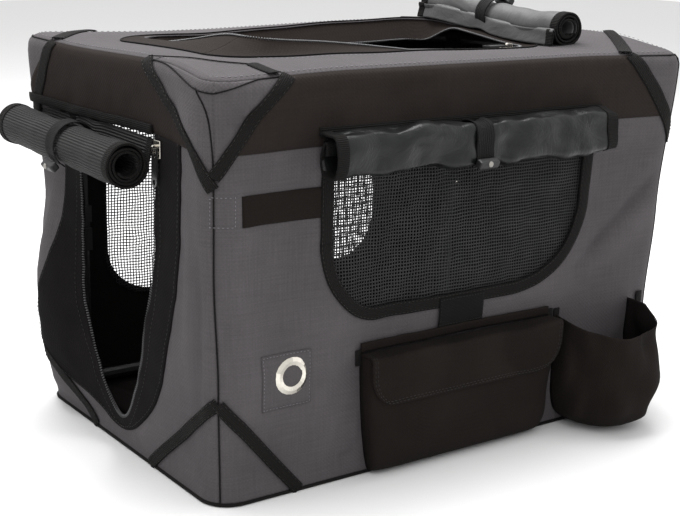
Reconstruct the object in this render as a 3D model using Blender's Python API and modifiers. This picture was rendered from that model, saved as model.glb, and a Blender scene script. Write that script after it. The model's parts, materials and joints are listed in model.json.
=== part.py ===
"""Soft folding dog carrier: a fabric cover on a steel tube frame whose knee-jointed legs fold flat.

Units are metres, +Z is up. The origin is the middle of the underside of the floor panel. The door end
faces -X, the side with the pockets faces -Y. Names use right for -Y and left for +Y.
"""

import math

import bmesh
import bpy
from mathutils import Matrix, Vector

# Overall size of the cover
LENGTH = 0.500
WIDTH = 0.340
HEIGHT = 0.360
CORNER_RADIUS = 0.032
FABRIC = 0.0018
FLOOR_THICKNESS = 0.0020
SEAM_GAP = 0.0003

# Floor mat
MAT_THICKNESS = 0.008
MAT_MARGIN = 0.026

# Tube frame
TUBE_RADIUS = 0.0065
BRACKET_WALL = 0.0022
BRACKET_LENGTH = 0.018
RAIL_SPARE = 0.0012
RAIL_BEND = 0.026
PIVOT_RISE = 0.0175
PIVOT_INSET = 0.007
KNEE_OFFSET = 0.008
KNEE_RADIUS = 0.005
KNEE_WALL = 0.0008
KNEE_LENGTH = 0.022
KNEE_RELIEF = 0.006
EYE_RADIUS = 0.006
EYE_LENGTH = 0.016
TONGUE_WIDTH = 0.0054
FORK_WIDTH = 0.014
PIN_RADIUS = 0.0020
PIN_HEAD_RADIUS = 0.0036
PIN_HEAD_HEIGHT = 0.0012
HINGE_PLAY = 0.0003

# Fabric openings and what is sewn round them
BAND_HEIGHT = 0.062
SKIRT_HEIGHT = 0.012
RIGHT_WINDOW_CENTRE = 0.004
RIGHT_WINDOW_HALF_WIDTH = 0.140
RIGHT_WINDOW_BOTTOM = 0.155
RIGHT_WINDOW_CORNER = 0.062
LEFT_WINDOW_CENTRE = -0.010
LEFT_WINDOW_HALF_WIDTH = 0.166
LEFT_WINDOW_BOTTOM = 0.096
LEFT_WINDOW_CORNER = 0.048
BINDING_WIDTH = 0.010
BINDING_THICKNESS = 0.0014
NET_MARGIN = 0.006
NET_THICKNESS = 0.0008
NET_PITCH = 0.024
NET_BAR = 0.0040
DOOR_HALF_WIDTH = 0.078
DOOR_BOTTOM = 0.028
DOOR_SHOULDER = 0.200
DOOR_TAPE_WIDTH = 0.036
TAPE_THICKNESS = 0.0012
TAPE_OVERHANG = 0.006
ROOF_DOOR_FRONT = -0.180
ROOF_DOOR_REAR = 0.160
ROOF_DOOR_HALF_WIDTH = 0.100
ROOF_DOOR_CORNER = 0.030
ROOF_TAPE_WIDTH = 0.018

# Rolled doors and flaps
ROLL_SHEET = 0.0016
ROLL_GAP = 0.0016
STRAP_WIDTH = 0.024
STRAP_THICKNESS = 0.0012
HEADER_THICKNESS = 0.0020
HEADER_HEIGHT = 0.008
DOOR_ROLL_LENGTH = 0.2265
DOOR_ROLL_RADIUS = 0.021
DOOR_ROLL_TURNS = 3.5
DOOR_ROLL_DROP = 0.019
DOOR_ROLL_END_GAP = 0.002
DOOR_STRAP_OFFSET = -0.006
FLAP_LAP = 0.026
FLAP_ROLL_RADIUS = 0.018
FLAP_ROLL_TURNS = 3.0
FLAP_ROLL_DROP = 0.016
FLAP_ROLL_SQUEEZE = 0.62
FLAP_STRAP_OFFSET = -0.003
ROOF_ROLL_LENGTH = 0.206
ROOF_ROLL_RADIUS = 0.021
ROOF_ROLL_TURNS = 3.5
ROOF_ROLL_DROP = 0.014
ROOF_ROLL_SQUEEZE = 0.80
ROOF_ROLL_CENTRE = -0.007
ROOF_STRAP_OFFSET = 0.004
TOGGLE_LENGTH = 0.022
TOGGLE_RADIUS = 0.0038
TOGGLE_LEAN = -40.0

# Zip slider and pull
SLIDER_WIDTH = 0.011
SLIDER_LENGTH = 0.015
SLIDER_PLATE = 0.0014
SLIDER_POST = 0.0030
SLIDER_PLAY = 0.0005
PULL_WIDTH = 0.009
PULL_LENGTH = 0.032
PULL_THICKNESS = 0.0016
PULL_BAR = 0.0020
PULL_WINDOW = 0.0060
BRIDGE_WIDTH = 0.0026
BRIDGE_BAR = 0.0012
DOOR_SLIDER_DROP = 0.0085

# Eyelet in the side wall
EYELET_X = -0.178
EYELET_Z = 0.106
EYELET_BORE = 0.0095
EYELET_FLANGE = 0.0165
EYELET_WALL = 0.0010
EYELET_RISE = 0.0026

# Pockets on the side wall
POCKET_LEFT = -0.108
POCKET_RIGHT = 0.112
POCKET_BOTTOM = 0.004
POCKET_TOP = 0.112
POCKET_DEPTH = 0.020
POCKET_WALL = 0.0016
FLAP_LENGTH = 0.060
FLAP_BEND = 0.003
FLAP_CORNER = 0.030
CUP_LEFT = 0.122
CUP_RIGHT = 0.226
CUP_TOP = 0.114
CUP_DEPTH = 0.074

# Rings of a pocket from its mouth down: inset of each end, share of depth, squareness, share of height
FLAP_POCKET_SECTIONS = (
    (0.0, 1.0, 7.0, 1.0), (0.0, 1.0, 7.0, 0.5), (0.0, 0.95, 7.0, 0.09), (0.004, 0.7, 6.0, 0.0),
)
CUP_SECTIONS = (
    (0.0, 0.94, 2.6, 1.0), (0.0, 1.0, 2.6, 0.62), (0.0, 1.0, 2.4, 0.30), (0.006, 0.88, 2.4, 0.10),
    (0.018, 0.66, 2.2, 0.0),
)

# Rings of the mat from its foot up: inset of its edge, share of its thickness
MAT_RINGS = ((0.006, 0.0), (0.0, 0.35), (0.002, 0.62), (0.014, 0.88), (0.050, 1.0))

# Rings of the roof's edge from the skirt's foot up: inset, height above the top, share of the swell
ROOF_RINGS = (
    (0.0, -SKIRT_HEIGHT, 0.0), (0.0, -0.0045, 0.0), (0.0018, -0.0015, 0.0), (0.0050, 0.0, 0.15),
    (0.0130, 0.0, 0.75), (0.0230, 0.0, 1.0), (0.0350, 0.0, 0.8), (0.0450, 0.0, 0.2), (0.0510, 0.0, 0.0),
    (0.0850, 0.0, 0.0),
)
# How far the loose roof cloth swells up at the far rear corner, and each corner's share of that, in the
# order far rear, far front, near front, near rear
ROOF_SWELL = 0.010
ROOF_CORNER_SHARES = (1.0, 0.6, 0.0, 0.8)

# How far the loose rear wall swells out, its rows from the foot up (share of its height, share of the
# swell) and its columns from an end to the middle (share of its half width, share of the swell)
REAR_SWELL = 0.018
REAR_ROWS = (
    (0.0, 0.0), (0.015, 0.0), (0.10, 0.55), (0.25, 0.85), (0.45, 1.0), (0.70, 1.0), (0.86, 0.75),
    (0.95, 0.3), (0.985, 0.0), (1.0, 0.0),
)
REAR_COLUMNS = ((0.92, 0.45), (0.80, 0.85), (0.55, 0.98), (0.2, 1.0))

# Values worked out from the sizes above
WINDOWS = {
    "right": (RIGHT_WINDOW_CENTRE, RIGHT_WINDOW_HALF_WIDTH, RIGHT_WINDOW_BOTTOM, RIGHT_WINDOW_CORNER),
    "left": (LEFT_WINDOW_CENTRE, LEFT_WINDOW_HALF_WIDTH, LEFT_WINDOW_BOTTOM, LEFT_WINDOW_CORNER),
}
RAIL_INSET = FABRIC + RAIL_SPARE + BRACKET_WALL + SEAM_GAP + TUBE_RADIUS
RAIL_X = LENGTH / 2 - RAIL_INSET
RAIL_Y = WIDTH / 2 - RAIL_INSET
BASE_RAIL_Z = RAIL_INSET + FLOOR_THICKNESS - FABRIC
ROOF_RAIL_Z = HEIGHT - RAIL_INSET
PIVOT_X = RAIL_X - PIVOT_INSET
LOW_PIVOT_Z = BASE_RAIL_Z + PIVOT_RISE
HIGH_PIVOT_Z = ROOF_RAIL_Z - PIVOT_RISE
HALF_LEG = (HIGH_PIVOT_Z - LOW_PIVOT_Z) / 2
LEG_Y = RAIL_Y - RAIL_BEND - BRACKET_LENGTH / 2 - SEAM_GAP
WALL_TOP = HEIGHT - SKIRT_HEIGHT - SEAM_GAP
BAND_BOTTOM = HEIGHT - BAND_HEIGHT
TRIM_FACE = SEAM_GAP + BINDING_THICKNESS
HEADER_FACE = TRIM_FACE + SEAM_GAP + HEADER_THICKNESS
ROLL_CLEARANCE = STRAP_THICKNESS + 2 * SEAM_GAP + ROLL_SHEET / 2
DOOR_SEAM_Z = BAND_BOTTOM - SEAM_GAP
DOOR_SLIDER_Z = BAND_BOTTOM - DOOR_SLIDER_DROP
DOOR_ROLL_CENTRE = DOOR_ROLL_LENGTH / 2 - (DOOR_HALF_WIDTH - SLIDER_WIDTH / 2 - DOOR_ROLL_END_GAP)
FLAP_SEAM_Z = BAND_BOTTOM + HEADER_HEIGHT
POCKET_SEAM_Z = POCKET_TOP + SEAM_GAP + POCKET_WALL

X_AXIS, Y_AXIS, Z_AXIS = Vector((1, 0, 0)), Vector((0, 1, 0)), Vector((0, 0, 1))
ROUND_STEPS = 8


def clear_scene():
    for obj in list(bpy.data.objects):
        bpy.data.objects.remove(obj, do_unlink=True)


def new_collection(name, hidden=False):
    collection = bpy.data.collections.new(name)
    bpy.context.scene.collection.children.link(collection)
    collection.hide_render = hidden
    return collection


def new_material(name, colour, roughness, metallic=0.0):
    material = bpy.data.materials.new(name)
    material.use_nodes = True
    shader = material.node_tree.nodes["Principled BSDF"]
    shader.inputs["Base Color"].default_value = (*colour, 1.0)
    shader.inputs["Roughness"].default_value = roughness
    shader.inputs["Metallic"].default_value = metallic
    return material


def frame(origin, x_axis, y_axis):
    """Matrix of a frame at origin whose X and Y run along the given axes."""
    z_axis = x_axis.cross(y_axis)
    matrix = Matrix((x_axis, y_axis, z_axis)).transposed().to_4x4()
    matrix.translation = origin
    return matrix


def face_frame(side):
    """Frame on the outer face of a wall, at floor level: X to the right as seen, Y up, Z outwards."""
    outward = {"right": -Y_AXIS, "left": Y_AXIS, "front": -X_AXIS, "rear": X_AXIS}[side]
    half = WIDTH / 2 if side in ("right", "left") else LENGTH / 2
    return frame(outward * half, Z_AXIS.cross(outward), Z_AXIS)


def section_frame(side, height):
    """Frame for a cross-section on a wall at this height: X outwards, Y up, Z along the wall."""
    face = face_frame(side)
    outward = face.to_3x3() @ Z_AXIS
    return frame(face.translation + Z_AXIS * height, outward, Z_AXIS)


def shifted(matrix, x=0.0, y=0.0, z=0.0):
    return matrix @ Matrix.Translation((x, y, z))


def baked(obj):
    """The evaluated mesh of obj, its curve caps welded; obj is removed and the mesh returned in its place."""
    graph = bpy.context.evaluated_depsgraph_get()
    mesh = bpy.data.meshes.new_from_object(obj.evaluated_get(graph))
    mesh.transform(obj.matrix_world)
    work = bmesh.new()
    work.from_mesh(mesh)
    bmesh.ops.remove_doubles(work, verts=work.verts, dist=1e-6)
    bmesh.ops.recalc_face_normals(work, faces=work.faces)
    work.to_mesh(mesh)
    work.free()
    bpy.data.objects.remove(obj, do_unlink=True)
    return mesh


def temporary(name, data, matrix=None):
    obj = bpy.data.objects.new(name, data)
    bpy.context.scene.collection.objects.link(obj)
    obj.matrix_world = matrix or Matrix.Identity(4)
    bpy.context.view_layer.update()
    return obj


def sheet_mesh(outline, thickness, matrix, holes=()):
    """A flat sheet with this outline in the frame's XY plane, its thickness centred on that plane."""
    curve = bpy.data.curves.new("outline", "CURVE")
    curve.dimensions = "2D"
    curve.fill_mode = "BOTH"
    curve.extrude = thickness / 2
    for points in (outline, *holes):
        spline = curve.splines.new("POLY")
        spline.points.add(len(points) - 1)
        for point, (x, y) in zip(spline.points, points):
            point.co = (x, y, 0.0, 1.0)
        spline.use_cyclic_u = True
    return baked(temporary("sheet", curve, matrix))


def box_mesh(size, matrix, rounding=0.0):
    """A box of this size centred on the frame, its edges rounded by one chamfer."""
    work = bmesh.new()
    bmesh.ops.create_cube(work, size=1.0)
    bmesh.ops.scale(work, vec=size, verts=work.verts)
    if rounding:
        bmesh.ops.bevel(work, geom=work.edges, offset=rounding, segments=2, profile=0.5, affect="EDGES")
    bmesh.ops.transform(work, matrix=matrix, verts=work.verts)
    mesh = bpy.data.meshes.new("box")
    work.to_mesh(mesh)
    work.free()
    return mesh


def cylinder_mesh(radius, length, matrix, steps=16):
    """A cylinder along the frame's Z, centred on it."""
    work = bmesh.new()
    bmesh.ops.create_cone(
        work, cap_ends=True, segments=steps, radius1=radius, radius2=radius, depth=length, matrix=matrix
    )
    mesh = bpy.data.meshes.new("cylinder")
    work.to_mesh(mesh)
    work.free()
    return mesh


def turned_mesh(profile, matrix, steps=20):
    """A profile of (radius, height) points turned about the frame's Z with a Screw modifier.

    The profile is a closed ring, unless it starts and ends on the axis.
    """
    mesh = bpy.data.meshes.new("profile")
    count = len(profile)
    edges = [(i, (i + 1) % count) for i in range(count)]
    if profile[0][0] == 0.0:
        edges.pop()
    mesh.from_pydata([(r, 0.0, h) for r, h in profile], edges, [])
    obj = temporary("turned", mesh, matrix)
    screw = obj.modifiers.new("Screw", "SCREW")
    screw.steps = screw.render_steps = steps
    screw.use_merge_vertices = True
    screw.merge_threshold = 0.00001
    return baked(obj)


def loft_mesh(rings, closed_end=False):
    """A surface through rings of points of equal count; the last ring can be closed by a face."""
    work = bmesh.new()
    rows = [[work.verts.new(point) for point in ring] for ring in rings]
    for low, high in zip(rows, rows[1:]):
        for i in range(len(low)):
            j = (i + 1) % len(low)
            work.faces.new((low[i], low[j], high[j], high[i]))
    if closed_end:
        work.faces.new(rows[-1])
    bmesh.ops.recalc_face_normals(work, faces=work.faces)
    mesh = bpy.data.meshes.new("loft")
    work.to_mesh(mesh)
    work.free()
    return mesh


def sheet_of_rows(rows):
    """An open surface through rows of points of equal count, which faces right of the way from row to row."""
    work = bmesh.new()
    grid = [[work.verts.new(point) for point in row] for row in rows]
    for low, high in zip(grid, grid[1:]):
        for i in range(len(low) - 1):
            work.faces.new((low[i], low[i + 1], high[i + 1], high[i]))
    mesh = bpy.data.meshes.new("sheet")
    work.to_mesh(mesh)
    work.free()
    return mesh


def tube_mesh(points, radius, cyclic=False):
    """A round tube along these points."""
    curve = bpy.data.curves.new("tube", "CURVE")
    curve.dimensions = "3D"
    curve.bevel_depth = radius
    curve.bevel_resolution = 3
    curve.use_fill_caps = not cyclic
    spline = curve.splines.new("POLY")
    spline.points.add(len(points) - 1)
    for point, place in zip(spline.points, points):
        point.co = (*place, 1.0)
    spline.use_cyclic_u = cyclic
    return baked(temporary("tube", curve))


def combined(operation, meshes):
    """The first mesh joined with, or cut by, each of the others."""
    obj = temporary("base", meshes[0])
    others = [temporary("operand", mesh) for mesh in meshes[1:]]
    for other in others:
        boolean = obj.modifiers.new("Boolean", "BOOLEAN")
        boolean.operation = operation
        boolean.object = other
    bpy.context.view_layer.update()
    mesh = baked(obj)
    for other in others:
        bpy.data.objects.remove(other, do_unlink=True)
    return mesh


def arc(centre, radius, start, end, steps=ROUND_STEPS):
    """Points on an arc, angles in degrees, both ends included."""
    angles = [math.radians(start + (end - start) * i / steps) for i in range(steps + 1)]
    return [(centre[0] + radius * math.cos(a), centre[1] + radius * math.sin(a)) for a in angles]


def rounded_rectangle(left, right, bottom, top, radius, steps=ROUND_STEPS):
    corners = (
        ((right - radius, top - radius), 0),
        ((left + radius, top - radius), 90),
        ((left + radius, bottom + radius), 180),
        ((right - radius, bottom + radius), 270),
    )
    return [point for centre, turn in corners for point in arc(centre, radius, turn, turn + 90, steps)]


def window_outline(half_width, top, bottom, radius):
    """A window that is square at the top and round at its lower corners."""
    left = arc((-half_width + radius, bottom + radius), radius, 180, 270)
    right = arc((half_width - radius, bottom + radius), radius, 270, 360)
    return [(-half_width, top), *left, *right, (half_width, top)]


def doorway_outline(half_width, top, shoulder, bottom, steps=20):
    """A doorway with upright sides down to the shoulder and half an ellipse below it."""
    angles = [math.pi * (1 + i / steps) for i in range(steps + 1)]
    bowl = [(half_width * math.cos(a), shoulder + (shoulder - bottom) * math.sin(a)) for a in angles]
    return [(-half_width, top), *bowl, (half_width, top)]


def thickened(path, thickness):
    """The closed outline of a strip of this thickness along a plane path."""
    sides = ([], [])
    for i, point in enumerate(path):
        before, after = path[max(i - 1, 0)], path[min(i + 1, len(path) - 1)]
        along = Vector((after[0] - before[0], after[1] - before[1])).normalized()
        across = Vector((-along.y, along.x)) * thickness / 2
        sides[0].append((point[0] + across.x, point[1] + across.y))
        sides[1].append((point[0] - across.x, point[1] - across.y))
    return sides[0] + sides[1][::-1]


class Carrier:
    """Holds the collections, materials and bodies while the parts are made."""

    def __init__(self):
        self.parts = new_collection("soft_dog_carrier")
        self.guides = new_collection("joint_axes", hidden=True)
        self.materials = {
            "grey_polyester": new_material("grey_polyester", (0.105, 0.098, 0.104), 0.85),
            "black_polyester": new_material("black_polyester", (0.022, 0.019, 0.018), 0.80),
            "black_mesh": new_material("black_mesh", (0.020, 0.020, 0.020), 0.70),
            "coated_cloth": new_material("coated_cloth", (0.060, 0.062, 0.064), 0.40),
            "black_webbing": new_material("black_webbing", (0.016, 0.015, 0.015), 0.75),
            "black_steel": new_material("black_steel", (0.018, 0.018, 0.019), 0.35, 0.6),
            "bright_steel": new_material("bright_steel", (0.620, 0.600, 0.560), 0.22, 1.0),
            "black_nylon": new_material("black_nylon", (0.024, 0.024, 0.025), 0.45),
        }
        self.bodies = {}

    def body(self, name, pivot):
        """An empty on the joint's axis, which carries the pieces that move together."""
        empty = bpy.data.objects.new(f"{name}_axis", None)
        self.guides.objects.link(empty)
        empty.location = pivot
        self.bodies[name] = empty
        bpy.context.view_layer.update()

    def part(self, name, mesh, material, body, smooth=False):
        """Makes a node from a mesh in world places, with its origin on its body's axis."""
        empty = self.bodies[body]
        mesh.name = name
        mesh.transform(Matrix.Translation(-empty.location))
        mesh.materials.clear()
        mesh.materials.append(self.materials[material])
        if smooth:
            mesh.shade_smooth()
            mesh.set_sharp_from_angle(angle=math.radians(35))
        obj = bpy.data.objects.new(name, mesh)
        self.parts.objects.link(obj)
        obj.parent = empty
        return obj


def build_floor(carrier):
    inset = FABRIC + SEAM_GAP
    outline = rounded_rectangle(
        -LENGTH / 2 + inset, LENGTH / 2 - inset, -WIDTH / 2 + inset, WIDTH / 2 - inset, CORNER_RADIUS - inset
    )
    level = frame(Z_AXIS * FLOOR_THICKNESS / 2, X_AXIS, Y_AXIS)
    carrier.part("floor_panel", sheet_mesh(outline, FLOOR_THICKNESS, level), "black_polyester", "base")
    build_mat(carrier)


def build_mat(carrier):
    """A thin quilted mat: its edge pulls in to a seam and its crown is highest in the middle."""
    half_x, half_y = LENGTH / 2 - MAT_MARGIN, WIDTH / 2 - MAT_MARGIN
    foot = FLOOR_THICKNESS + SEAM_GAP
    rings = []
    for inset, rise in MAT_RINGS:
        outline = rounded_rectangle(
            -half_x + inset, half_x - inset, -half_y + inset, half_y - inset, CORNER_RADIUS - inset / 2, 5
        )
        rings.append([(x, y, foot + rise * MAT_THICKNESS) for x, y in outline])
    mesh = loft_mesh(rings, closed_end=True)
    work = bmesh.new()
    work.from_mesh(mesh)
    bmesh.ops.holes_fill(work, edges=work.edges)
    bmesh.ops.recalc_face_normals(work, faces=work.faces)
    work.to_mesh(mesh)
    work.free()
    carrier.part("floor_mat", mesh, "black_polyester", "base", smooth=True)


def rail_points(height):
    outline = rounded_rectangle(-RAIL_X, RAIL_X, -RAIL_Y, RAIL_Y, RAIL_BEND, 5)
    return [(x, y, height) for x, y in outline]


def build_rails(carrier):
    base = tube_mesh(rail_points(BASE_RAIL_Z), TUBE_RADIUS, cyclic=True)
    carrier.part("base_frame", base, "black_steel", "base", smooth=True)
    roof = tube_mesh(rail_points(ROOF_RAIL_Z), TUBE_RADIUS, cyclic=True)
    carrier.part("roof_frame", roof, "black_steel", "roof", smooth=True)


def side_frame():
    """Frame of a leg's side view: X inwards, Y up, Z across the leg."""
    return frame(Vector(), X_AXIS, Z_AXIS)


def bracket_mesh():
    """A clamp round the rail with two ears and a cross pin for the leg's eye, the pin at the origin."""
    side = side_frame()
    rail = (-PIVOT_INSET, -PIVOT_RISE)
    outer = TUBE_RADIUS + SEAM_GAP + BRACKET_WALL
    bore = TUBE_RADIUS + SEAM_GAP
    reach = math.hypot(PIVOT_INSET, PIVOT_RISE)
    lean = math.degrees(math.atan2(PIVOT_RISE, PIVOT_INSET))
    ring = arc(rail, outer, lean + 62, lean + 298, 12)
    head = arc((0.0, 0.0), EYE_RADIUS, lean - 90, lean + 90, 6)
    plate = sheet_mesh(ring + head, BRACKET_LENGTH, side)
    room, far = EYE_RADIUS + HINGE_PLAY, 2 * reach
    swept = arc((0.0, 0.0), room, 180, 270, 4) + [(far, -room), (far, far), (-room, far)]
    slot = sheet_mesh(swept, TONGUE_WIDTH + 4 * HINGE_PLAY, side)
    tunnel = cylinder_mesh(bore, 2 * BRACKET_LENGTH, shifted(side, *rail), 16)
    clamp = combined("DIFFERENCE", [plate, slot, tunnel])
    pin = cylinder_mesh(PIN_RADIUS, BRACKET_LENGTH - 2 * SEAM_GAP, side, 10)
    return combined("UNION", [clamp, pin])


def eye_mesh(drop):
    """The tongue with a bore that swings on a bracket's pin, and the shoulder that grips the tube."""
    side = side_frame()
    outline = arc((0.0, 0.0), EYE_RADIUS, 180, 360, 6) + [(EYE_RADIUS, drop), (-EYE_RADIUS, drop)]
    tongue = sheet_mesh(outline, TONGUE_WIDTH, side)
    bore = cylinder_mesh(PIN_RADIUS + HINGE_PLAY, 2 * TONGUE_WIDTH, side, 12)
    return combined("DIFFERENCE", [tongue, bore])


def sleeve_mesh(low, high):
    """A moulded sleeve round the tube."""
    upright = frame(Vector((0, 0, (low + high) / 2)), X_AXIS, Y_AXIS)
    return cylinder_mesh(TUBE_RADIUS + BRACKET_WALL / 2, high - low, upright, 14)


def knee_plate(up):
    """The knee's side profile: an arm round the tube's end and a disc round the pin beyond it.

    up is 1 for the lower leg, whose knee is above its pivot, and -1 for the upper leg.
    """
    back, front = -KNEE_OFFSET + HINGE_PLAY, TUBE_RADIUS + KNEE_WALL
    reach = math.degrees(math.acos(HINGE_PLAY / KNEE_RADIUS))
    disc = arc((-KNEE_OFFSET, HALF_LEG), KNEE_RADIUS, 0, 360 - reach, 12)
    arm = [(back, HALF_LEG - KNEE_LENGTH), (front, HALF_LEG - KNEE_LENGTH), (front, HALF_LEG)]
    outline = [(x, up * y) for x, y in disc + arm]
    return sheet_mesh(outline, FORK_WIDTH, side_frame())


def knee_bore(up):
    spot = shifted(side_frame(), x=-KNEE_OFFSET, y=up * HALF_LEG)
    return cylinder_mesh(PIN_RADIUS + HINGE_PLAY, 2 * FORK_WIDTH, spot, 12)


def leg_tube(up):
    """The straight tube from inside the sleeve at the pivot to inside the knee."""
    near, far = EYE_LENGTH - KNEE_RELIEF / 2, HALF_LEG - KNEE_RELIEF - 2 * HINGE_PLAY
    return tube_mesh([(0, 0, up * near), (0, 0, up * far)], TUBE_RADIUS)


def lower_leg_mesh():
    """Lower half of a leg: eye on the base bracket, tube, and the forked knee. Its pivot is at the origin."""
    mouth = 2 * (KNEE_RADIUS + 2 * HINGE_PLAY)
    slot_size = (8 * TUBE_RADIUS, mouth, TONGUE_WIDTH + 4 * HINGE_PLAY)
    slot = box_mesh(slot_size, shifted(side_frame(), y=HALF_LEG))
    knee = combined("DIFFERENCE", [knee_plate(1), slot, knee_bore(1)])
    sleeve = sleeve_mesh(EYE_LENGTH - KNEE_RELIEF, EYE_LENGTH + KNEE_RELIEF)
    return combined("UNION", [leg_tube(1), sleeve, eye_mesh(EYE_LENGTH), knee])


def upper_leg_mesh():
    """Upper half of a leg, hanging from its pivot at the origin: tube and the knee's tongue."""
    step = (FORK_WIDTH - TONGUE_WIDTH) / 2
    size = (8 * TUBE_RADIUS, 2 * KNEE_LENGTH, 2 * step)
    cheeks = [
        box_mesh(size, shifted(side_frame(), y=-HALF_LEG + KNEE_RELIEF - KNEE_LENGTH, z=way * FORK_WIDTH / 2))
        for way in (-1, 1)
    ]
    knee = combined("DIFFERENCE", [knee_plate(-1), *cheeks, knee_bore(-1)])
    eye = eye_mesh(EYE_LENGTH)
    eye.transform(Matrix.Rotation(math.pi, 4, "Y"))
    sleeve = sleeve_mesh(-EYE_LENGTH - KNEE_RELIEF, -EYE_LENGTH + KNEE_RELIEF)
    return combined("UNION", [leg_tube(-1), sleeve, eye, knee])


def knee_pin_mesh():
    """A headed rivet through the knee, its middle at the frame's origin."""
    half = FORK_WIDTH / 2 + HINGE_PLAY
    profile = [
        (0.0, half + PIN_HEAD_HEIGHT),
        (PIN_HEAD_RADIUS * 0.7, half + PIN_HEAD_HEIGHT),
        (PIN_HEAD_RADIUS, half),
        (PIN_RADIUS, half),
        (PIN_RADIUS, -half),
        (PIN_HEAD_RADIUS, -half),
        (PIN_HEAD_RADIUS * 0.7, -half - PIN_HEAD_HEIGHT),
        (0.0, -half - PIN_HEAD_HEIGHT),
    ]
    return turned_mesh(profile, side_frame(), 12)


def build_legs(carrier):
    """Four knee-jointed legs. The front pair fold towards the rear and the rear pair towards the front."""
    for end, facing in (("front", 1), ("rear", -1)):
        turn = Matrix.Identity(4) if facing == 1 else Matrix.Rotation(math.pi, 4, "Z")
        for side, sign in (("right", -1), ("left", 1)):
            spot = Vector((-facing * PIVOT_X, sign * LEG_Y, 0.0))
            name = f"{end}_{side}"
            low = Matrix.Translation(spot + Z_AXIS * LOW_PIVOT_Z) @ turn
            high = Matrix.Translation(spot + Z_AXIS * HIGH_PIVOT_Z) @ turn
            knee = low @ Matrix.Translation((-KNEE_OFFSET, 0, HALF_LEG))
            upended = high @ Matrix.Rotation(math.pi, 4, "X")
            for label, mesh, place, material, body in (
                ("base_bracket", bracket_mesh(), low, "black_nylon", "base"),
                ("lower_leg", lower_leg_mesh(), low, "black_steel", f"{end}_lower_legs"),
                ("knee_pin", knee_pin_mesh(), knee, "bright_steel", f"{end}_lower_legs"),
                ("upper_leg", upper_leg_mesh(), high, "black_steel", f"{end}_upper_legs"),
                ("roof_bracket", bracket_mesh(), upended, "black_nylon", "roof"),
            ):
                mesh.transform(place)
                carrier.part(f"{label}_{name}", mesh, material, body, smooth=True)


def wall_mesh(side):
    """An upright sheet along one side of the cover that turns half of each corner, up to the corner seam."""
    face = face_frame(side)
    half_run = (LENGTH if side in ("right", "left") else WIDTH) / 2
    seam = math.degrees(SEAM_GAP / 2 / (CORNER_RADIUS - FABRIC))
    centre_x, centre_y = half_run - CORNER_RADIUS, -CORNER_RADIUS
    outer = arc((centre_x, centre_y), CORNER_RADIUS, 45 + seam, 90, 4)
    outer += arc((-centre_x, centre_y), CORNER_RADIUS, 90, 135 - seam, 4)
    inner = arc((-centre_x, centre_y), CORNER_RADIUS - FABRIC, 135 - seam, 90, 4)
    inner += arc((centre_x, centre_y), CORNER_RADIUS - FABRIC, 90, 45 + seam, 4)
    outward = face.to_3x3() @ Z_AXIS
    plan = frame(face.translation + Z_AXIS * WALL_TOP / 2, outward.cross(Z_AXIS), outward)
    return sheet_mesh(outer + inner, WALL_TOP, plan)


def rear_wall_mesh():
    """The rear wall like the other walls, but swollen outwards between its corner seams."""
    seam = math.degrees(SEAM_GAP / 2 / CORNER_RADIUS)
    straight, face_x = WIDTH / 2 - CORNER_RADIUS, LENGTH / 2
    near = arc((face_x - CORNER_RADIUS, -straight), CORNER_RADIUS, -45 + seam, 0, 4)
    far = arc((face_x - CORNER_RADIUS, straight), CORNER_RADIUS, 0, 45 - seam, 4)
    columns = [(face_x, straight * place, share) for place, share in REAR_COLUMNS]
    plan = [(x, y, 0.0) for x, y in near] + [(x, -y, share) for x, y, share in columns]
    plan += columns[::-1] + [(x, y, 0.0) for x, y in far]
    rows = [
        [(x + REAR_SWELL * share * rise, y, WALL_TOP * level) for x, y, share in plan]
        for level, rise in REAR_ROWS
    ]
    sheet = temporary("sheet", sheet_of_rows(rows))
    solidify = sheet.modifiers.new("Solidify", "SOLIDIFY")
    solidify.thickness = FABRIC
    solidify.offset = -1.0
    solidify.use_even_offset = True
    return baked(sheet)


def net_holes(half_width, top, bottom, radius):
    """Square gaps of the window net, left out where they would break its edge."""
    edge = NET_MARGIN + NET_BAR / 2
    across = int((half_width - edge) // NET_PITCH)
    rows = int((top - bottom - 2 * edge) // NET_PITCH)
    gap = (NET_PITCH - NET_BAR) / 2
    middle = (top + bottom) / 2
    holes = []
    for i in range(-across, across + 1):
        for j in range(rows):
            x, y = i * NET_PITCH, middle + (j - (rows - 1) / 2) * NET_PITCH
            reach_x, reach_y = abs(x) + gap - (half_width - radius), (bottom + radius) - (y - gap)
            if abs(x) + gap > half_width - NET_BAR:
                continue
            if reach_x > 0 and reach_y > 0 and math.hypot(reach_x, reach_y) > radius - NET_BAR:
                continue
            holes.append([(x - gap, y - gap), (x + gap, y - gap), (x + gap, y + gap), (x - gap, y + gap)])
    return holes


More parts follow.
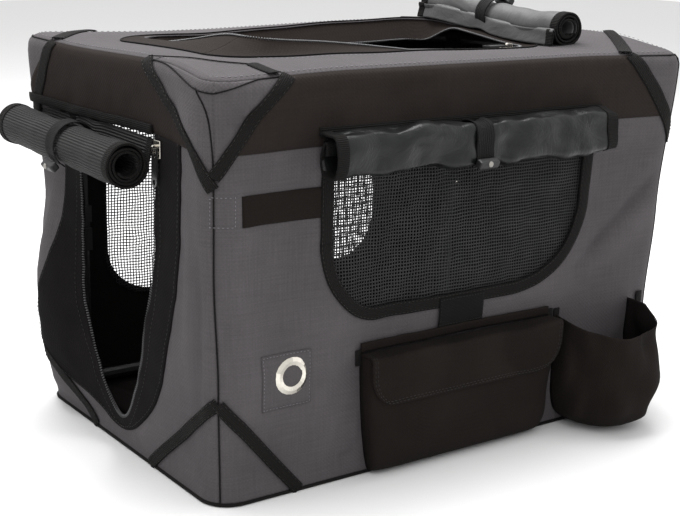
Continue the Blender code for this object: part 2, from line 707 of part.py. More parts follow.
def build_window(carrier, side, wall):
    """Cuts the window in a side wall, and adds its net behind and its binding in front."""
    centre, half_width, bottom, corner = WINDOWS[side]
    face = shifted(face_frame(side), x=centre if side == "right" else -centre)
    top = BAND_BOTTOM
    outline = window_outline(half_width, top, bottom, corner)
    cutter = sheet_mesh(outline, 8 * FABRIC, face)
    net_edge = (half_width + NET_MARGIN, top + NET_MARGIN, bottom - NET_MARGIN, corner + NET_MARGIN)
    depth = -FABRIC - SEAM_GAP - NET_THICKNESS / 2
    net = sheet_mesh(window_outline(*net_edge), NET_THICKNESS, shifted(face, z=depth), net_holes(*net_edge))
    carrier.part(f"{side}_window_net", net, "black_mesh", "base")
    rim = thickened(
        window_outline(
            half_width + BINDING_WIDTH / 2, top, bottom - BINDING_WIDTH / 2, corner + BINDING_WIDTH / 2
        ),
        BINDING_WIDTH,
    )
    lift = SEAM_GAP + BINDING_THICKNESS / 2
    binding = sheet_mesh(rim, BINDING_THICKNESS, shifted(face, z=lift))
    carrier.part(f"{side}_window_binding", binding, "black_webbing", "base")
    return combined("DIFFERENCE", [wall, cutter])


def build_walls(carrier):
    right = build_window(carrier, "right", wall_mesh("right"))
    spot = shifted(face_frame("right"), x=EYELET_X, y=EYELET_Z)
    hole = cylinder_mesh(EYELET_BORE + EYELET_WALL + SEAM_GAP, 8 * FABRIC, spot, 24)
    carrier.part("right_wall", combined("DIFFERENCE", [right, hole]), "grey_polyester", "base")
    left = build_window(carrier, "left", wall_mesh("left"))
    carrier.part("left_wall", left, "grey_polyester", "base")
    carrier.part("rear_wall", rear_wall_mesh(), "grey_polyester", "base")
    build_front_wall(carrier)


def build_front_wall(carrier):
    """The door end: a round-bottomed doorway and the zip tape round it, whose free edge carries the zip."""
    face = face_frame("front")
    cut_half = DOOR_HALF_WIDTH + TAPE_OVERHANG
    cutter = sheet_mesh(
        doorway_outline(cut_half, BAND_BOTTOM, DOOR_SHOULDER, DOOR_BOTTOM - TAPE_OVERHANG), 8 * FABRIC, face
    )
    carrier.part("front_wall", combined("DIFFERENCE", [wall_mesh("front"), cutter]), "grey_polyester", "base")
    top = BAND_BOTTOM
    inner = doorway_outline(DOOR_HALF_WIDTH, top, DOOR_SHOULDER, DOOR_BOTTOM)
    outer_half = DOOR_HALF_WIDTH + DOOR_TAPE_WIDTH
    outer = doorway_outline(outer_half, top, DOOR_SHOULDER, DOOR_BOTTOM - DOOR_TAPE_WIDTH / 2)
    lift = SEAM_GAP + TAPE_THICKNESS / 2
    tape = sheet_mesh(outer + inner[::-1], TAPE_THICKNESS, shifted(face, z=lift))
    carrier.part("front_door_tape", tape, "black_webbing", "base")


def eyelet_profile():
    """Section of the pressed eyelet: domed flange outside, barrel through the cloth."""
    top, foot = EYELET_RISE, -FABRIC - 2 * SEAM_GAP - EYELET_WALL
    barrel = EYELET_BORE + EYELET_WALL
    middle = (EYELET_BORE + EYELET_FLANGE) / 2
    return [
        (EYELET_BORE, top * 0.6),
        (middle, top),
        (EYELET_FLANGE, top * 0.4),
        (EYELET_FLANGE, SEAM_GAP),
        (barrel, SEAM_GAP),
        (barrel, foot),
        (EYELET_BORE, foot),
    ]


def build_eyelet(carrier):
    spot = shifted(face_frame("right"), x=EYELET_X, y=EYELET_Z)
    carrier.part("eyelet", turned_mesh(eyelet_profile(), spot), "bright_steel", "side_hems", smooth=True)
    barrel, back = EYELET_BORE + EYELET_WALL + SEAM_GAP, -FABRIC - SEAM_GAP
    rim = EYELET_FLANGE - EYELET_WALL
    washer = [(barrel, back), (rim, back), (rim, back - EYELET_WALL), (barrel, back - EYELET_WALL)]
    carrier.part("eyelet_washer", turned_mesh(washer, spot), "bright_steel", "side_hems", smooth=True)


def roll_path(radius, turns, drop, squeeze, tail_x):
    """A rolled sheet seen from its end: down from the seam at the origin, then spiralling inwards.

    The radius shrinks at a steady rate. squeeze flattens the roll against the wall.
    """
    pitch = ROLL_SHEET + ROLL_GAP
    steps = int(turns * 18)
    centre_x = tail_x + radius * squeeze
    path = [(tail_x, 0.0), (tail_x, -drop / 2)]
    for i in range(steps + 1):
        angle = math.pi + 2 * math.pi * turns * i / steps
        reach = radius - pitch * turns * i / steps
        path.append((centre_x + reach * squeeze * math.cos(angle), -drop + reach * math.sin(angle)))
    return path


def strap_path(radius, drop, squeeze, tail_x):
    """A strap that hangs from the seam, behind the roll, under it and up its front."""
    clear = ROLL_SHEET / 2 + SEAM_GAP + STRAP_THICKNESS / 2
    centre_x = tail_x + radius * squeeze
    reach_x, reach_y = radius * squeeze + clear, radius + clear
    path = [(tail_x - clear, -HEADER_HEIGHT), (tail_x - clear, -drop * 0.6)]
    for i in range(25):
        angle = math.radians(180 + 280 * i / 24)
        path.append((centre_x + reach_x * math.cos(angle), -drop + reach_y * math.sin(angle)))
    return path


def toggle_frame(radius, squeeze):
    """The toggle's place on the strap, below the roll's front, from the roll's middle; X is outwards."""
    lean = math.radians(TOGGLE_LEAN)
    clear = ROLL_SHEET / 2 + SEAM_GAP + STRAP_THICKNESS / 2
    spot = Vector(((radius * squeeze + clear) * math.cos(lean), (radius + clear) * math.sin(lean), 0.0))
    outward = Vector((radius * math.cos(lean), radius * squeeze * math.sin(lean), 0.0)).normalized()
    spot += outward * (STRAP_THICKNESS / 2 + SEAM_GAP + TOGGLE_RADIUS)
    return frame(spot, outward, Z_AXIS.cross(outward))


def build_roll(carrier, name, body, matrix, size, material, strap_offset, stand_off=0.0):
    """A rolled panel, the strap that holds it and the toggle that closes the strap."""
    length, radius, turns, drop, squeeze = size
    tail_x = stand_off + ROLL_CLEARANCE
    path = roll_path(radius, turns, drop, squeeze, tail_x)
    roll = sheet_mesh(thickened(path, ROLL_SHEET), length, matrix)
    carrier.part(f"{name}_roll", roll, material, body, smooth=True)
    place = shifted(matrix, z=strap_offset)
    loop = thickened(strap_path(radius, drop, squeeze, tail_x), STRAP_THICKNESS)
    strap = sheet_mesh(loop, STRAP_WIDTH, place)
    carrier.part(f"{name}_roll_strap", strap, "black_webbing", body, smooth=True)
    spot = shifted(place, tail_x + radius * squeeze, -drop) @ toggle_frame(radius, squeeze)
    toggle = box_mesh((2 * TOGGLE_RADIUS, 2 * TOGGLE_RADIUS, TOGGLE_LENGTH), spot, TOGGLE_RADIUS * 0.45)
    carrier.part(f"{name}_roll_toggle", toggle, "black_nylon", body, smooth=True)


def build_header(carrier, name, body, side, length, seam, centre):
    """The sewn strip above a seam, from which a rolled panel or a flap hangs."""
    spot = shifted(
        face_frame(side), x=centre, y=seam + HEADER_HEIGHT / 2, z=HEADER_FACE - HEADER_THICKNESS / 2
    )
    strip = box_mesh((length, HEADER_HEIGHT, HEADER_THICKNESS), spot, HEADER_THICKNESS * 0.3)
    carrier.part(name, strip, "black_polyester", body)


def build_rolls(carrier):
    """The rolled mesh door in front and the rolled window flap on each side."""
    build_header(carrier, "front_door_header", "upper_hems", "front", DOOR_ROLL_LENGTH, DOOR_SEAM_Z,
                 -DOOR_ROLL_CENTRE)
    door = (DOOR_ROLL_LENGTH, DOOR_ROLL_RADIUS, DOOR_ROLL_TURNS, DOOR_ROLL_DROP, 1.0)
    spot = shifted(section_frame("front", DOOR_SEAM_Z), z=DOOR_ROLL_CENTRE)
    build_roll(carrier, "front_door", "front_roll", spot, door, "black_mesh", DOOR_STRAP_OFFSET, HEADER_FACE)
    for side, sign in (("right", 1), ("left", -1)):
        centre, half_width = sign * WINDOWS[side][0], WINDOWS[side][1]
        length = 2 * (half_width + FLAP_LAP)
        flap = (length, FLAP_ROLL_RADIUS, FLAP_ROLL_TURNS, FLAP_ROLL_DROP, FLAP_ROLL_SQUEEZE)
        build_header(carrier, f"{side}_flap_header", "upper_hems", side, length, FLAP_SEAM_Z, centre)
        spot = shifted(section_frame(side, FLAP_SEAM_Z), z=-centre)
        build_roll(carrier, f"{side}_flap", f"{side}_roll", spot, flap, "coated_cloth",
                   -sign * FLAP_STRAP_OFFSET, HEADER_FACE)


def build_roof(carrier):
    """The roof cloth with its rounded edge and skirt, the doorway in it and the zip tape round that."""
    rings = []
    per_corner = 6
    for inset, level, share in ROOF_RINGS:
        outline = rounded_rectangle(
            -LENGTH / 2 + inset, LENGTH / 2 - inset, -WIDTH / 2 + inset, WIDTH / 2 - inset,
            max(CORNER_RADIUS - inset / 2, CORNER_RADIUS / 3), per_corner - 1,
        )
        rings.append([
            (x, y, HEIGHT + level + ROOF_SWELL * share * ROOF_CORNER_SHARES[i // per_corner])
            for i, (x, y) in enumerate(outline)
        ])
    shell = temporary("shell", loft_mesh(rings, closed_end=True))
    solidify = shell.modifiers.new("Solidify", "SOLIDIFY")
    solidify.thickness = FABRIC
    solidify.offset = -1.0
    cloth = baked(shell)
    top = frame(Z_AXIS * HEIGHT, X_AXIS, Y_AXIS)
    outline = rounded_rectangle(
        ROOF_DOOR_FRONT, ROOF_DOOR_REAR, -ROOF_DOOR_HALF_WIDTH, ROOF_DOOR_HALF_WIDTH, ROOF_DOOR_CORNER
    )
    cutter = sheet_mesh(outline, 8 * FABRIC, top)
    carrier.part("roof_panel", combined("DIFFERENCE", [cloth, cutter]), "grey_polyester", "roof")
    lap = TAPE_OVERHANG
    edge, inner = ROOF_DOOR_HALF_WIDTH + lap, ROOF_DOOR_HALF_WIDTH + lap - ROOF_TAPE_WIDTH
    ring = rounded_rectangle(
        ROOF_DOOR_FRONT - lap, ROOF_DOOR_REAR + lap, -edge, edge, ROOF_DOOR_CORNER + lap
    )
    hole = rounded_rectangle(
        ROOF_DOOR_FRONT - lap + ROOF_TAPE_WIDTH, ROOF_DOOR_REAR + lap - ROOF_TAPE_WIDTH, -inner, inner,
        ROOF_DOOR_CORNER + lap - ROOF_TAPE_WIDTH,
    )
    depth = -FABRIC - SEAM_GAP - TAPE_THICKNESS / 2
    tape = sheet_mesh(ring, TAPE_THICKNESS, shifted(top, z=depth), [hole])
    carrier.part("roof_zip_tape", tape, "black_webbing", "roof")
    seam = frame(Vector((ROOF_DOOR_REAR, ROOF_ROLL_CENTRE, HEIGHT)), Z_AXIS, -X_AXIS)
    size = (ROOF_ROLL_LENGTH, ROOF_ROLL_RADIUS, ROOF_ROLL_TURNS, ROOF_ROLL_DROP, ROOF_ROLL_SQUEEZE)
    build_roll(carrier, "roof_door", "roof_roll", seam, size, "coated_cloth", -ROOF_STRAP_OFFSET)


def slider_mesh():
    """Zip slider, middle at the origin, in a face frame: X away from the tape's edge, Y up, Z outwards.

    Two plates hold the zip's edge between them, joined by a post past that edge; a bridge on the outer
    plate holds the pull.
    """
    identity = Matrix.Identity(4)
    half_gap = TAPE_THICKNESS / 2 + SLIDER_PLAY
    plate_z = half_gap + SLIDER_PLATE / 2
    plate = (SLIDER_WIDTH, SLIDER_LENGTH, SLIDER_PLATE)
    outer = box_mesh(plate, shifted(identity, z=plate_z), 0.0005)
    inner = box_mesh(plate, shifted(identity, z=-plate_z), 0.0005)
    post_size = (SLIDER_POST, SLIDER_LENGTH * 0.6, 2 * half_gap + SLIDER_PLATE)
    post = box_mesh(post_size, shifted(identity, x=-SLIDER_PLAY - SLIDER_POST / 2))
    foot = half_gap + SLIDER_PLATE
    top = foot + 2 * SLIDER_PLAY + PULL_THICKNESS + SLIDER_PLAY
    leg_y = PULL_BAR / 2 + 3 * SLIDER_PLAY + BRIDGE_BAR / 2
    clear, reach, sunk = leg_y - BRIDGE_BAR / 2, leg_y + BRIDGE_BAR / 2, foot - SLIDER_PLATE / 2
    arch = [
        (-reach, sunk), (-clear, sunk), (-clear, top), (clear, top), (clear, sunk), (reach, sunk),
        (reach, top), (clear, top + BRIDGE_BAR), (-clear, top + BRIDGE_BAR), (-reach, top),
    ]
    bridge = sheet_mesh(arch, BRIDGE_WIDTH, frame(Vector(), Y_AXIS, Z_AXIS))
    return combined("UNION", [outer, inner, post, bridge])


def pull_mesh():
    """Zip pull in the slider's frame: its cross bar lies under the bridge and the tab hangs down."""
    bottom, top = -PULL_LENGTH, PULL_BAR / 2
    half = PULL_WIDTH / 2
    outline = arc((0.0, bottom + half), half, 180, 360) + [(half * 0.8, top), (-half * 0.8, top)]
    slot_half = BRIDGE_WIDTH / 2 + 2 * SLIDER_PLAY
    slot_top = -PULL_BAR / 2
    window = [(-slot_half, slot_top - PULL_WINDOW), (slot_half, slot_top - PULL_WINDOW),
              (slot_half, slot_top), (-slot_half, slot_top)]
    finger = arc((0.0, bottom + half), half * 0.55, 0, 360, 14)[:-1]
    lift = TAPE_THICKNESS / 2 + SLIDER_PLAY + SLIDER_PLATE + SLIDER_PLAY * 2 + PULL_THICKNESS / 2
    return sheet_mesh(outline, PULL_THICKNESS, Matrix.Translation((0, 0, lift)), [window, finger])


def pull_height():
    """How far the pull's swinging axis stands out from the middle of the tape."""
    return TAPE_THICKNESS / 2 + 3 * SLIDER_PLAY + SLIDER_PLATE + PULL_THICKNESS / 2


def door_slider_frame():
    """The slider on the right-hand edge of the doorway, near its top."""
    lift = SEAM_GAP + TAPE_THICKNESS / 2
    return shifted(face_frame("front"), x=DOOR_HALF_WIDTH, y=DOOR_SLIDER_Z, z=lift)


def roof_slider_frame():
    """The slider on the roof doorway's right-hand edge, beside the roll."""
    lap = ROOF_TAPE_WIDTH - TAPE_OVERHANG
    depth = HEIGHT - FABRIC - SEAM_GAP - TAPE_THICKNESS / 2
    spot = Vector((ROOF_DOOR_REAR - ROOF_DOOR_CORNER - SLIDER_LENGTH / 2, -ROOF_DOOR_HALF_WIDTH + lap, depth))
    return frame(spot, -Y_AXIS, X_AXIS)


def build_sliders(carrier):
    for name, spot in (("front", door_slider_frame()), ("roof", roof_slider_frame())):
        slider, pull = slider_mesh(), pull_mesh()
        slider.transform(spot)
        pull.transform(spot)
        carrier.part(f"{name}_zip_slider", slider, "bright_steel", f"{name}_slider")
        carrier.part(f"{name}_zip_pull", pull, "black_steel", f"{name}_pull")


def pocket_ring(left, right, depth, power, steps=24):
    """Plan of a pocket as a half superellipse that stands out from the wall, back edge included."""
    middle, half = (left + right) / 2, (right - left) / 2
    back = [(right, 0.0), (left, 0.0)]
    front = []
    for i in range(1, steps):
        angle = math.pi + math.pi * i / steps
        c, s = math.cos(angle), math.sin(angle)
        x = middle + half * math.copysign(abs(c) ** (2 / power), c)
        front.append((x, -depth * abs(s) ** (2 / power)))
    return back + front


def pocket_mesh(sections, wall):
    """An open-topped bag through plan sections of (left, right, depth, power, height), closed at its foot."""
    rings = []
    face_y = -WIDTH / 2 - SEAM_GAP
    for left, right, depth, power, height in sections:
        plan = pocket_ring(left, right, depth, power)
        rings.append([(x, face_y + y, height) for x, y in plan])
    bag = temporary("bag", loft_mesh(rings, closed_end=True))
    solidify = bag.modifiers.new("Solidify", "SOLIDIFY")
    solidify.thickness = wall
    solidify.offset = -1.0
    solidify.use_even_offset = True
    return baked(bag)


def build_pockets(carrier):
    for name, left, right, depth, top, sections in (
        ("flap_pocket", POCKET_LEFT, POCKET_RIGHT, POCKET_DEPTH, POCKET_TOP, FLAP_POCKET_SECTIONS),
        ("cup_pocket", CUP_LEFT, CUP_RIGHT, CUP_DEPTH, CUP_TOP, CUP_SECTIONS),
    ):
        height = top - POCKET_BOTTOM
        plans = [
            (left + inset, right - inset, depth * share, power, POCKET_BOTTOM + height * rise)
            for inset, share, power, rise in sections
        ]
        carrier.part(name, pocket_mesh(plans, POCKET_WALL), "black_polyester", "base", smooth=True)
    build_pocket_flap(carrier)


def flap_profile():
    """The flap from the side, as (run, out, drop): flat over the mouth, round the edge and straight down."""
    over = SEAM_GAP + POCKET_DEPTH + 3 * SEAM_GAP + POCKET_WALL / 2 - HEADER_FACE
    flat, turn = over - FLAP_BEND, math.pi / 2 * FLAP_BEND
    profile = [(0.0, 0.0, 0.0), (flat / 2, flat / 2, 0.0)]
    for i in range(4):
        angle = math.pi / 2 * i / 4
        profile.append((flat + angle * FLAP_BEND, flat + FLAP_BEND * math.sin(angle),
                        FLAP_BEND * (1 - math.cos(angle))))
    straight = FLAP_LENGTH - flat - turn
    for i in range(8):
        fallen = straight * i / 7
        profile.append((flat + turn + fallen, over, FLAP_BEND + fallen))
    return profile


def build_pocket_flap(carrier):
    """The flap over the pocket's mouth, with round lower corners, and the hem that it hangs from."""
    half = (POCKET_RIGHT - POCKET_LEFT) / 2 + POCKET_WALL
    middle = (POCKET_RIGHT + POCKET_LEFT) / 2
    columns = 10
    verts, faces = [], []
    for run, out, drop in flap_profile():
        past = max(0.0, run - (FLAP_LENGTH - FLAP_CORNER))
        reach = half - (FLAP_CORNER - math.sqrt(max(FLAP_CORNER**2 - past**2, 0.0)))
        for i in range(columns + 1):
            x = middle + reach * (2 * i / columns - 1)
            verts.append((x, -WIDTH / 2 - HEADER_FACE - out, POCKET_SEAM_Z - drop))
    width = columns + 1
    for j in range(len(verts) // width - 1):
        for i in range(columns):
            first = j * width + i
            faces.append((first, first + 1, first + width + 1, first + width))
    mesh = bpy.data.meshes.new("flap")
    mesh.from_pydata(verts, [], faces)
    flap = temporary("flap", mesh)
    solidify = flap.modifiers.new("Solidify", "SOLIDIFY")
    solidify.thickness = POCKET_WALL
    solidify.offset = 0.0
    carrier.part("pocket_flap", baked(flap), "black_polyester", "pocket_flap", smooth=True)
    build_header(carrier, "pocket_hem", "side_hems", "right", POCKET_RIGHT - POCKET_LEFT,
                 POCKET_SEAM_Z + 2 * POCKET_WALL, middle)


def add_bodies(carrier):
    """One empty for each body, on the axis that it turns about or slides along."""
    carrier.body("base", Vector())
    for end, sign in (("front", -1), ("rear", 1)):
        carrier.body(f"{end}_lower_legs", Vector((sign * PIVOT_X, 0, LOW_PIVOT_Z)))
        knee = Vector((sign * (PIVOT_X + KNEE_OFFSET), 0, LOW_PIVOT_Z + HALF_LEG))
        carrier.body(f"{end}_upper_legs", knee)
    carrier.body("roof", Vector((-PIVOT_X, 0, HIGH_PIVOT_Z)))
    tail = HEADER_FACE + ROLL_CLEARANCE
    carrier.body("upper_hems", Vector((0, 0, DOOR_SEAM_Z)))
    carrier.body("front_roll", Vector((-LENGTH / 2 - tail, 0, DOOR_SEAM_Z)))
    for side, sign in (("right", -1), ("left", 1)):
        carrier.body(f"{side}_roll", Vector((0, sign * (WIDTH / 2 + tail), FLAP_SEAM_Z)))
    carrier.body("roof_roll", Vector((ROOF_DOOR_REAR, 0, HEIGHT + ROLL_CLEARANCE)))
    carrier.body("side_hems", Vector((0, -WIDTH / 2, POCKET_SEAM_Z)))
    carrier.body("pocket_flap", Vector((0, -WIDTH / 2 - HEADER_FACE, POCKET_SEAM_Z)))
    for name, spot in (("front", door_slider_frame()), ("roof", roof_slider_frame())):
        carrier.body(f"{name}_slider", spot.translation)
        carrier.body(f"{name}_pull", shifted(spot, z=pull_height()).translation)


def main():
    clear_scene()
    carrier = Carrier()
    add_bodies(carrier)
    build_floor(carrier)
    build_rails(carrier)
    build_legs(carrier)
    build_walls(carrier)
    build_eyelet(carrier)
    build_roof(carrier)
    build_rolls(carrier)
    build_sliders(carrier)
    build_pockets(carrier)


main()
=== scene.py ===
"""A soft folding dog carrier: the sewn cover, its nets, zips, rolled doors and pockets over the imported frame.

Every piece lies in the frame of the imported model, in metres: +X to the rear, -Y to the side with the
pockets, +Z up. Points of the cover are given in cloth coordinates: a face, the distance along that face and
the distance up it, so that whatever is sewn on the cover follows its swells and folds.
"""

from __future__ import annotations

import json
import logging
import math
from dataclasses import dataclass
from enum import Enum
from functools import partial

import bpy
import numpy as np
from mathutils import Matrix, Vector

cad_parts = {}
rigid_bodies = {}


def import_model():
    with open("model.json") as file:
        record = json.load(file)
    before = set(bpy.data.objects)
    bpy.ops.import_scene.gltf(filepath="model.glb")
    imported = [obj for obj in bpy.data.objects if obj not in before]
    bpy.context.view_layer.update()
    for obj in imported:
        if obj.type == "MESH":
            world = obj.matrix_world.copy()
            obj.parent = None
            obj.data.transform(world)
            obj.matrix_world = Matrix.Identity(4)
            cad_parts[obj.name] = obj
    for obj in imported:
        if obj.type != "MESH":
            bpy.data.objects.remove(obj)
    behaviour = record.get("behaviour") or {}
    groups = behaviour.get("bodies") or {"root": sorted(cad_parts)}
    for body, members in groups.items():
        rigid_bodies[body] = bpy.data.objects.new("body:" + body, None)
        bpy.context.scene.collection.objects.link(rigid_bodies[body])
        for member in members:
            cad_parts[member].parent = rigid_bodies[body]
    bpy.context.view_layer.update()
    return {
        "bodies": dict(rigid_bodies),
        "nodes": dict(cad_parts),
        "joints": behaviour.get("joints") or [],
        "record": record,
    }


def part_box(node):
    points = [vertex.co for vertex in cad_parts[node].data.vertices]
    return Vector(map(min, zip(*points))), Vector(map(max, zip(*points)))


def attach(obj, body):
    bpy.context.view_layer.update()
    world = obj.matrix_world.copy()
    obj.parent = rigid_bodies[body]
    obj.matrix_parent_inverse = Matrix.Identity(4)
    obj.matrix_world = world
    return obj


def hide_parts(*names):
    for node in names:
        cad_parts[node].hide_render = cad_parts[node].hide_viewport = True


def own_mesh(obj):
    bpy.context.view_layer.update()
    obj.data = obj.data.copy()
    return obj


Array = np.ndarray
Pair = tuple[float, float]
Triple = tuple[float, float, float]
Box = tuple[float, float, float, float]  # left, right, bottom and top
RGBA = Box
Piece = bpy.types.Object
Tree = bpy.types.NodeTree
Node = bpy.types.Node
Socket = bpy.types.NodeSocket

LOG = logging.getLogger("carrier")
MM = 0.001
UP = np.array([0.0, 0.0, 1.0])


def linear(code: str) -> RGBA:
    """Turn an sRGB hex colour into a linear RGBA value.

    Args:
        code: six hex digits after a hash.

    Returns:
        Red, green, blue and an alpha of 1, by the sRGB curve: c/12.92 below 0.04045, and
        ((c + 0.055)/1.055)^2.4 above it.
    """
    parts = [int(code[i:i + 2], 16) / 255 for i in (1, 3, 5)]
    red, green, blue = (c / 12.92 if c <= 0.04045 else ((c + 0.055) / 1.055) ** 2.4 for c in parts)
    return (red, green, blue, 1.0)


def add_node(tree: Tree, kind: str, settings: dict | None = None, inputs: dict | None = None) -> Node:
    """Add a shader node.

    Args:
        tree: the material's node tree.
        kind: the node's type without its ShaderNode prefix.
        settings: the node's own properties.
        inputs: values, or sockets to link from, by input name or number.

    Returns:
        The new node.
    """
    node = tree.nodes.new("ShaderNode" + kind)
    for name, value in (settings or {}).items():
        setattr(node, name, value)
    for name, value in (inputs or {}).items():
        if isinstance(value, Socket):
            tree.links.new(value, node.inputs[name])
        else:
            node.inputs[name].default_value = value
    return node


@dataclass(frozen=True)
class Finish:
    """What a piece is made of: its name, the record's slot that it stands for, which nothing here reads, and
    its colour.
    """

    name: str
    slot: str
    colour: str
    roughness: float

    def material(self) -> bpy.types.Material:
        """Give the finish's material, built when it is first asked for.

        Returns:
            A material with one Principled shader that dress() has finished.
        """
        found = bpy.data.materials.get(self.name)
        if found is not None:
            return found
        material = bpy.data.materials.new(self.name)
        material.use_nodes = True
        tree = material.node_tree
        shader = tree.nodes["Principled BSDF"]
        shader.inputs["Base Color"].default_value = linear(self.colour)
        shader.inputs["Roughness"].default_value = self.roughness
        self.dress(tree, shader)
        return material

    def dress(self, tree: Tree, shader: Node) -> None:
        """Add the finish's own pattern, which the plain finish hasn't got."""

    def pattern(self, tree: Tree, shader: Node, level: Socket, height: Socket, strength: float,
                depth: float) -> None:
        """Give the shader the finish's colour, lighter and darker by a pattern, and its relief.

        Args:
            tree: the material's node tree.
            shader: its Principled shader.
            level: what the colour is multiplied by.
            height: the relief's height pattern.
            strength: how strongly the relief bends the light.
            depth: the relief's depth in metres.
        """
        shade = add_node(tree, "VectorMath", {"operation": "SCALE"},
                         {0: linear(self.colour)[:3], "Scale": level})
        bump = add_node(tree, "Bump", inputs={"Strength": strength, "Distance": depth, "Height": height})
        tree.links.new(shade.outputs[0], shader.inputs["Base Color"])
        tree.links.new(bump.outputs[0], shader.inputs["Normal"])


@dataclass(frozen=True)
class WovenCloth(Finish):
    """Polyester of 600 denier in a plain weave: matt, dusty grey or brown black, with a faint sheen.

    Its threads lie 0.55 mm apart. They are drawn coarser, at the pitch given here, because 0.55 mm is half
    a pixel of the render. Slubs and patches are given as cycles per metre.
    """

    pitch: float = 1.9 * MM
    depth: float = 0.30 * MM
    contrast: float = 0.10
    sheen: float = 0.03
    slubs: Pair = (30.0, 700.0)
    slub_relief: float = 0.8
    patches: float = 14.0
    patch_share: float = 0.45
    # Share of the fold heights in the colour: ridges lighter as worn, hollows darker as painted shade.
    wear: float = 0.35
    tones: Pair = (0.82, 1.18)
    gloss: float = 0.10

    def dress(self, tree: Tree, shader: Node) -> None:
        """Weave from two sines across the cloth's UV in metres, slubs along the threads, soft patches, and the
        folds' colour: lighter on worn ridges, painted shade in the hollows.
        """
        add = partial(add_node, tree)
        uv = add("UVMap", {"uv_map": "Cloth"}).outputs[0]
        split = add("SeparateXYZ", inputs={0: uv})
        waves, slubs = [], []
        for axis in (0, 1):
            turns = add("Math", {"operation": "MULTIPLY"}, {0: split.outputs[axis], 1: math.pi / self.pitch})
            waves.append(add("Math", {"operation": "SINE"}, {0: turns.outputs[0]}).outputs[0])
        weave = add("Math", {"operation": "MULTIPLY"}, {0: waves[0], 1: waves[1]}).outputs[0]
        for scale in (self.slubs, self.slubs[::-1]):
            stretch = add("Mapping", inputs={0: uv, "Scale": (*scale, 1.0)})
            slubs.append(add("TexNoise", inputs={0: stretch.outputs[0], "Scale": 1.0, "Detail": 2.0,
                                                 "Roughness": 0.6}).outputs[0])
        slub = add("Math", {"operation": "ADD"}, {0: slubs[0], 1: slubs[1]}).outputs[0]
        coords = add("TexCoord").outputs["Object"]
        patches = add("TexNoise", inputs={0: coords, "Scale": self.patches, "Detail": 3.0,
                                          "Roughness": 0.55}).outputs[0]
        # The folds' height lightens worn ridges and paints shade into the hollows between them.
        ridge = add("Attribute", {"attribute_name": "ridge"}).outputs["Fac"]
        tone = slub
        for source, share in ((weave, self.contrast), (patches, self.patch_share), (ridge, self.wear)):
            tone = add("Math", {"operation": "MULTIPLY_ADD"}, {0: source, 1: share, 2: tone}).outputs[0]
        level = add("MapRange", inputs={0: tone, "From Min": 0.75, "From Max": 1.75,
                                        "To Min": self.tones[0], "To Max": self.tones[1]})
        relief = add("Math", {"operation": "MULTIPLY_ADD"}, {0: slub, 1: self.slub_relief, 2: weave})
        self.pattern(tree, shader, level.outputs[0], relief.outputs[0], 0.40, self.depth)
        shader.inputs["Sheen Weight"].default_value = self.sheen
        shader.inputs["Sheen Roughness"].default_value = 0.5
        shader.inputs["Specular IOR Level"].default_value = self.gloss


@dataclass(frozen=True)
class CoatedCloth(Finish):
    """Thin polyester with a smooth polyurethane coat: satin, creased, with soft broad highlights."""

    creases: float = 26.0
    grain: float = 900.0
    grain_share: float = 0.035
    depth: float = 3.0 * MM
    # How much darker the creases' hollows are painted, as shade, and how much lighter their ridges, as light.
    tones: Pair = (0.78, 1.22)
    spread: Pair = (-0.07, 0.10)
    gloss: float = 0.27

    def dress(self, tree: Tree, shader: Node) -> None:
        """Fine creases and a fine grain in the coat, a gloss that varies with them, and painted light on the
        creases' ridges with painted shade in their hollows.
        """
        add = partial(add_node, tree)
        coords = add("TexCoord").outputs["Object"]
        folds = add("TexNoise", inputs={0: coords, "Scale": self.creases, "Detail": 5.0,
                                        "Roughness": 0.62, "Distortion": 0.8}).outputs[0]
        grain = add("TexNoise", inputs={0: coords, "Scale": self.grain, "Detail": 1.0}).outputs[0]
        relief = add("Math", {"operation": "MULTIPLY_ADD"}, {0: grain, 1: self.grain_share, 2: folds})
        # The colour follows the creases' height: painted light on their ridges, painted shade in their hollows.
        level, gloss = (add("MapRange", inputs={0: folds, "From Min": 0.3, "From Max": 0.7,
                                                "To Min": base + low, "To Max": base + high})
                        for base, (low, high) in ((0.0, self.tones), (self.roughness, self.spread)))
        self.pattern(tree, shader, level.outputs[0], relief.outputs[0], 0.85, self.depth)
        tree.links.new(gloss.outputs[0], shader.inputs["Roughness"])
        shader.inputs["Specular IOR Level"].default_value = self.gloss


@dataclass(frozen=True)
class RibbedTape(Finish):
    """Woven polyester webbing or rolled net: fine ribs that run along the piece's own V direction."""

    pitch: float = 1.6 * MM
    depth: float = 0.35 * MM
    contrast: float = 0.35
    yarn: float = 420.0
    knot_pitch: float = 0.7
    knot_share: float = 0.3
    gloss: float = 0.2

    def dress(self, tree: Tree, shader: Node) -> None:
        """Ribs from a sine across the UV in metres, broken by noise as yarn is."""
        add = partial(add_node, tree)
        uv = add("UVMap", {"uv_map": "Cloth"}).outputs[0]
        split = add("SeparateXYZ", inputs={0: uv})
        noise = add("TexNoise", inputs={0: uv, "Scale": self.yarn, "Detail": 2.0})
        turns = add("Math", {"operation": "MULTIPLY_ADD"},
                    {0: split.outputs[0], 1: 2 * math.pi / self.pitch, 2: noise.outputs[0]})
        rib = add("Math", {"operation": "SINE"}, {0: turns.outputs[0]})
        cross = add("Math", {"operation": "MULTIPLY"},
                    {0: split.outputs[1], 1: 2 * math.pi / (self.knot_pitch * self.pitch)})
        knots = add("Math", {"operation": "SINE"}, {0: cross.outputs[0]})
        relief = add("Math", {"operation": "MULTIPLY_ADD"},
                     {0: knots.outputs[0], 1: self.knot_share, 2: rib.outputs[0]}).outputs[0]
        reach = 1 + self.knot_share
        level = add("MapRange", inputs={0: relief, "From Min": -reach, "From Max": reach,
                                        "To Min": 1 - self.contrast, "To Max": 1 + self.contrast})
        self.pattern(tree, shader, level.outputs[0], relief, 0.8, self.depth)
        shader.inputs["Specular IOR Level"].default_value = self.gloss


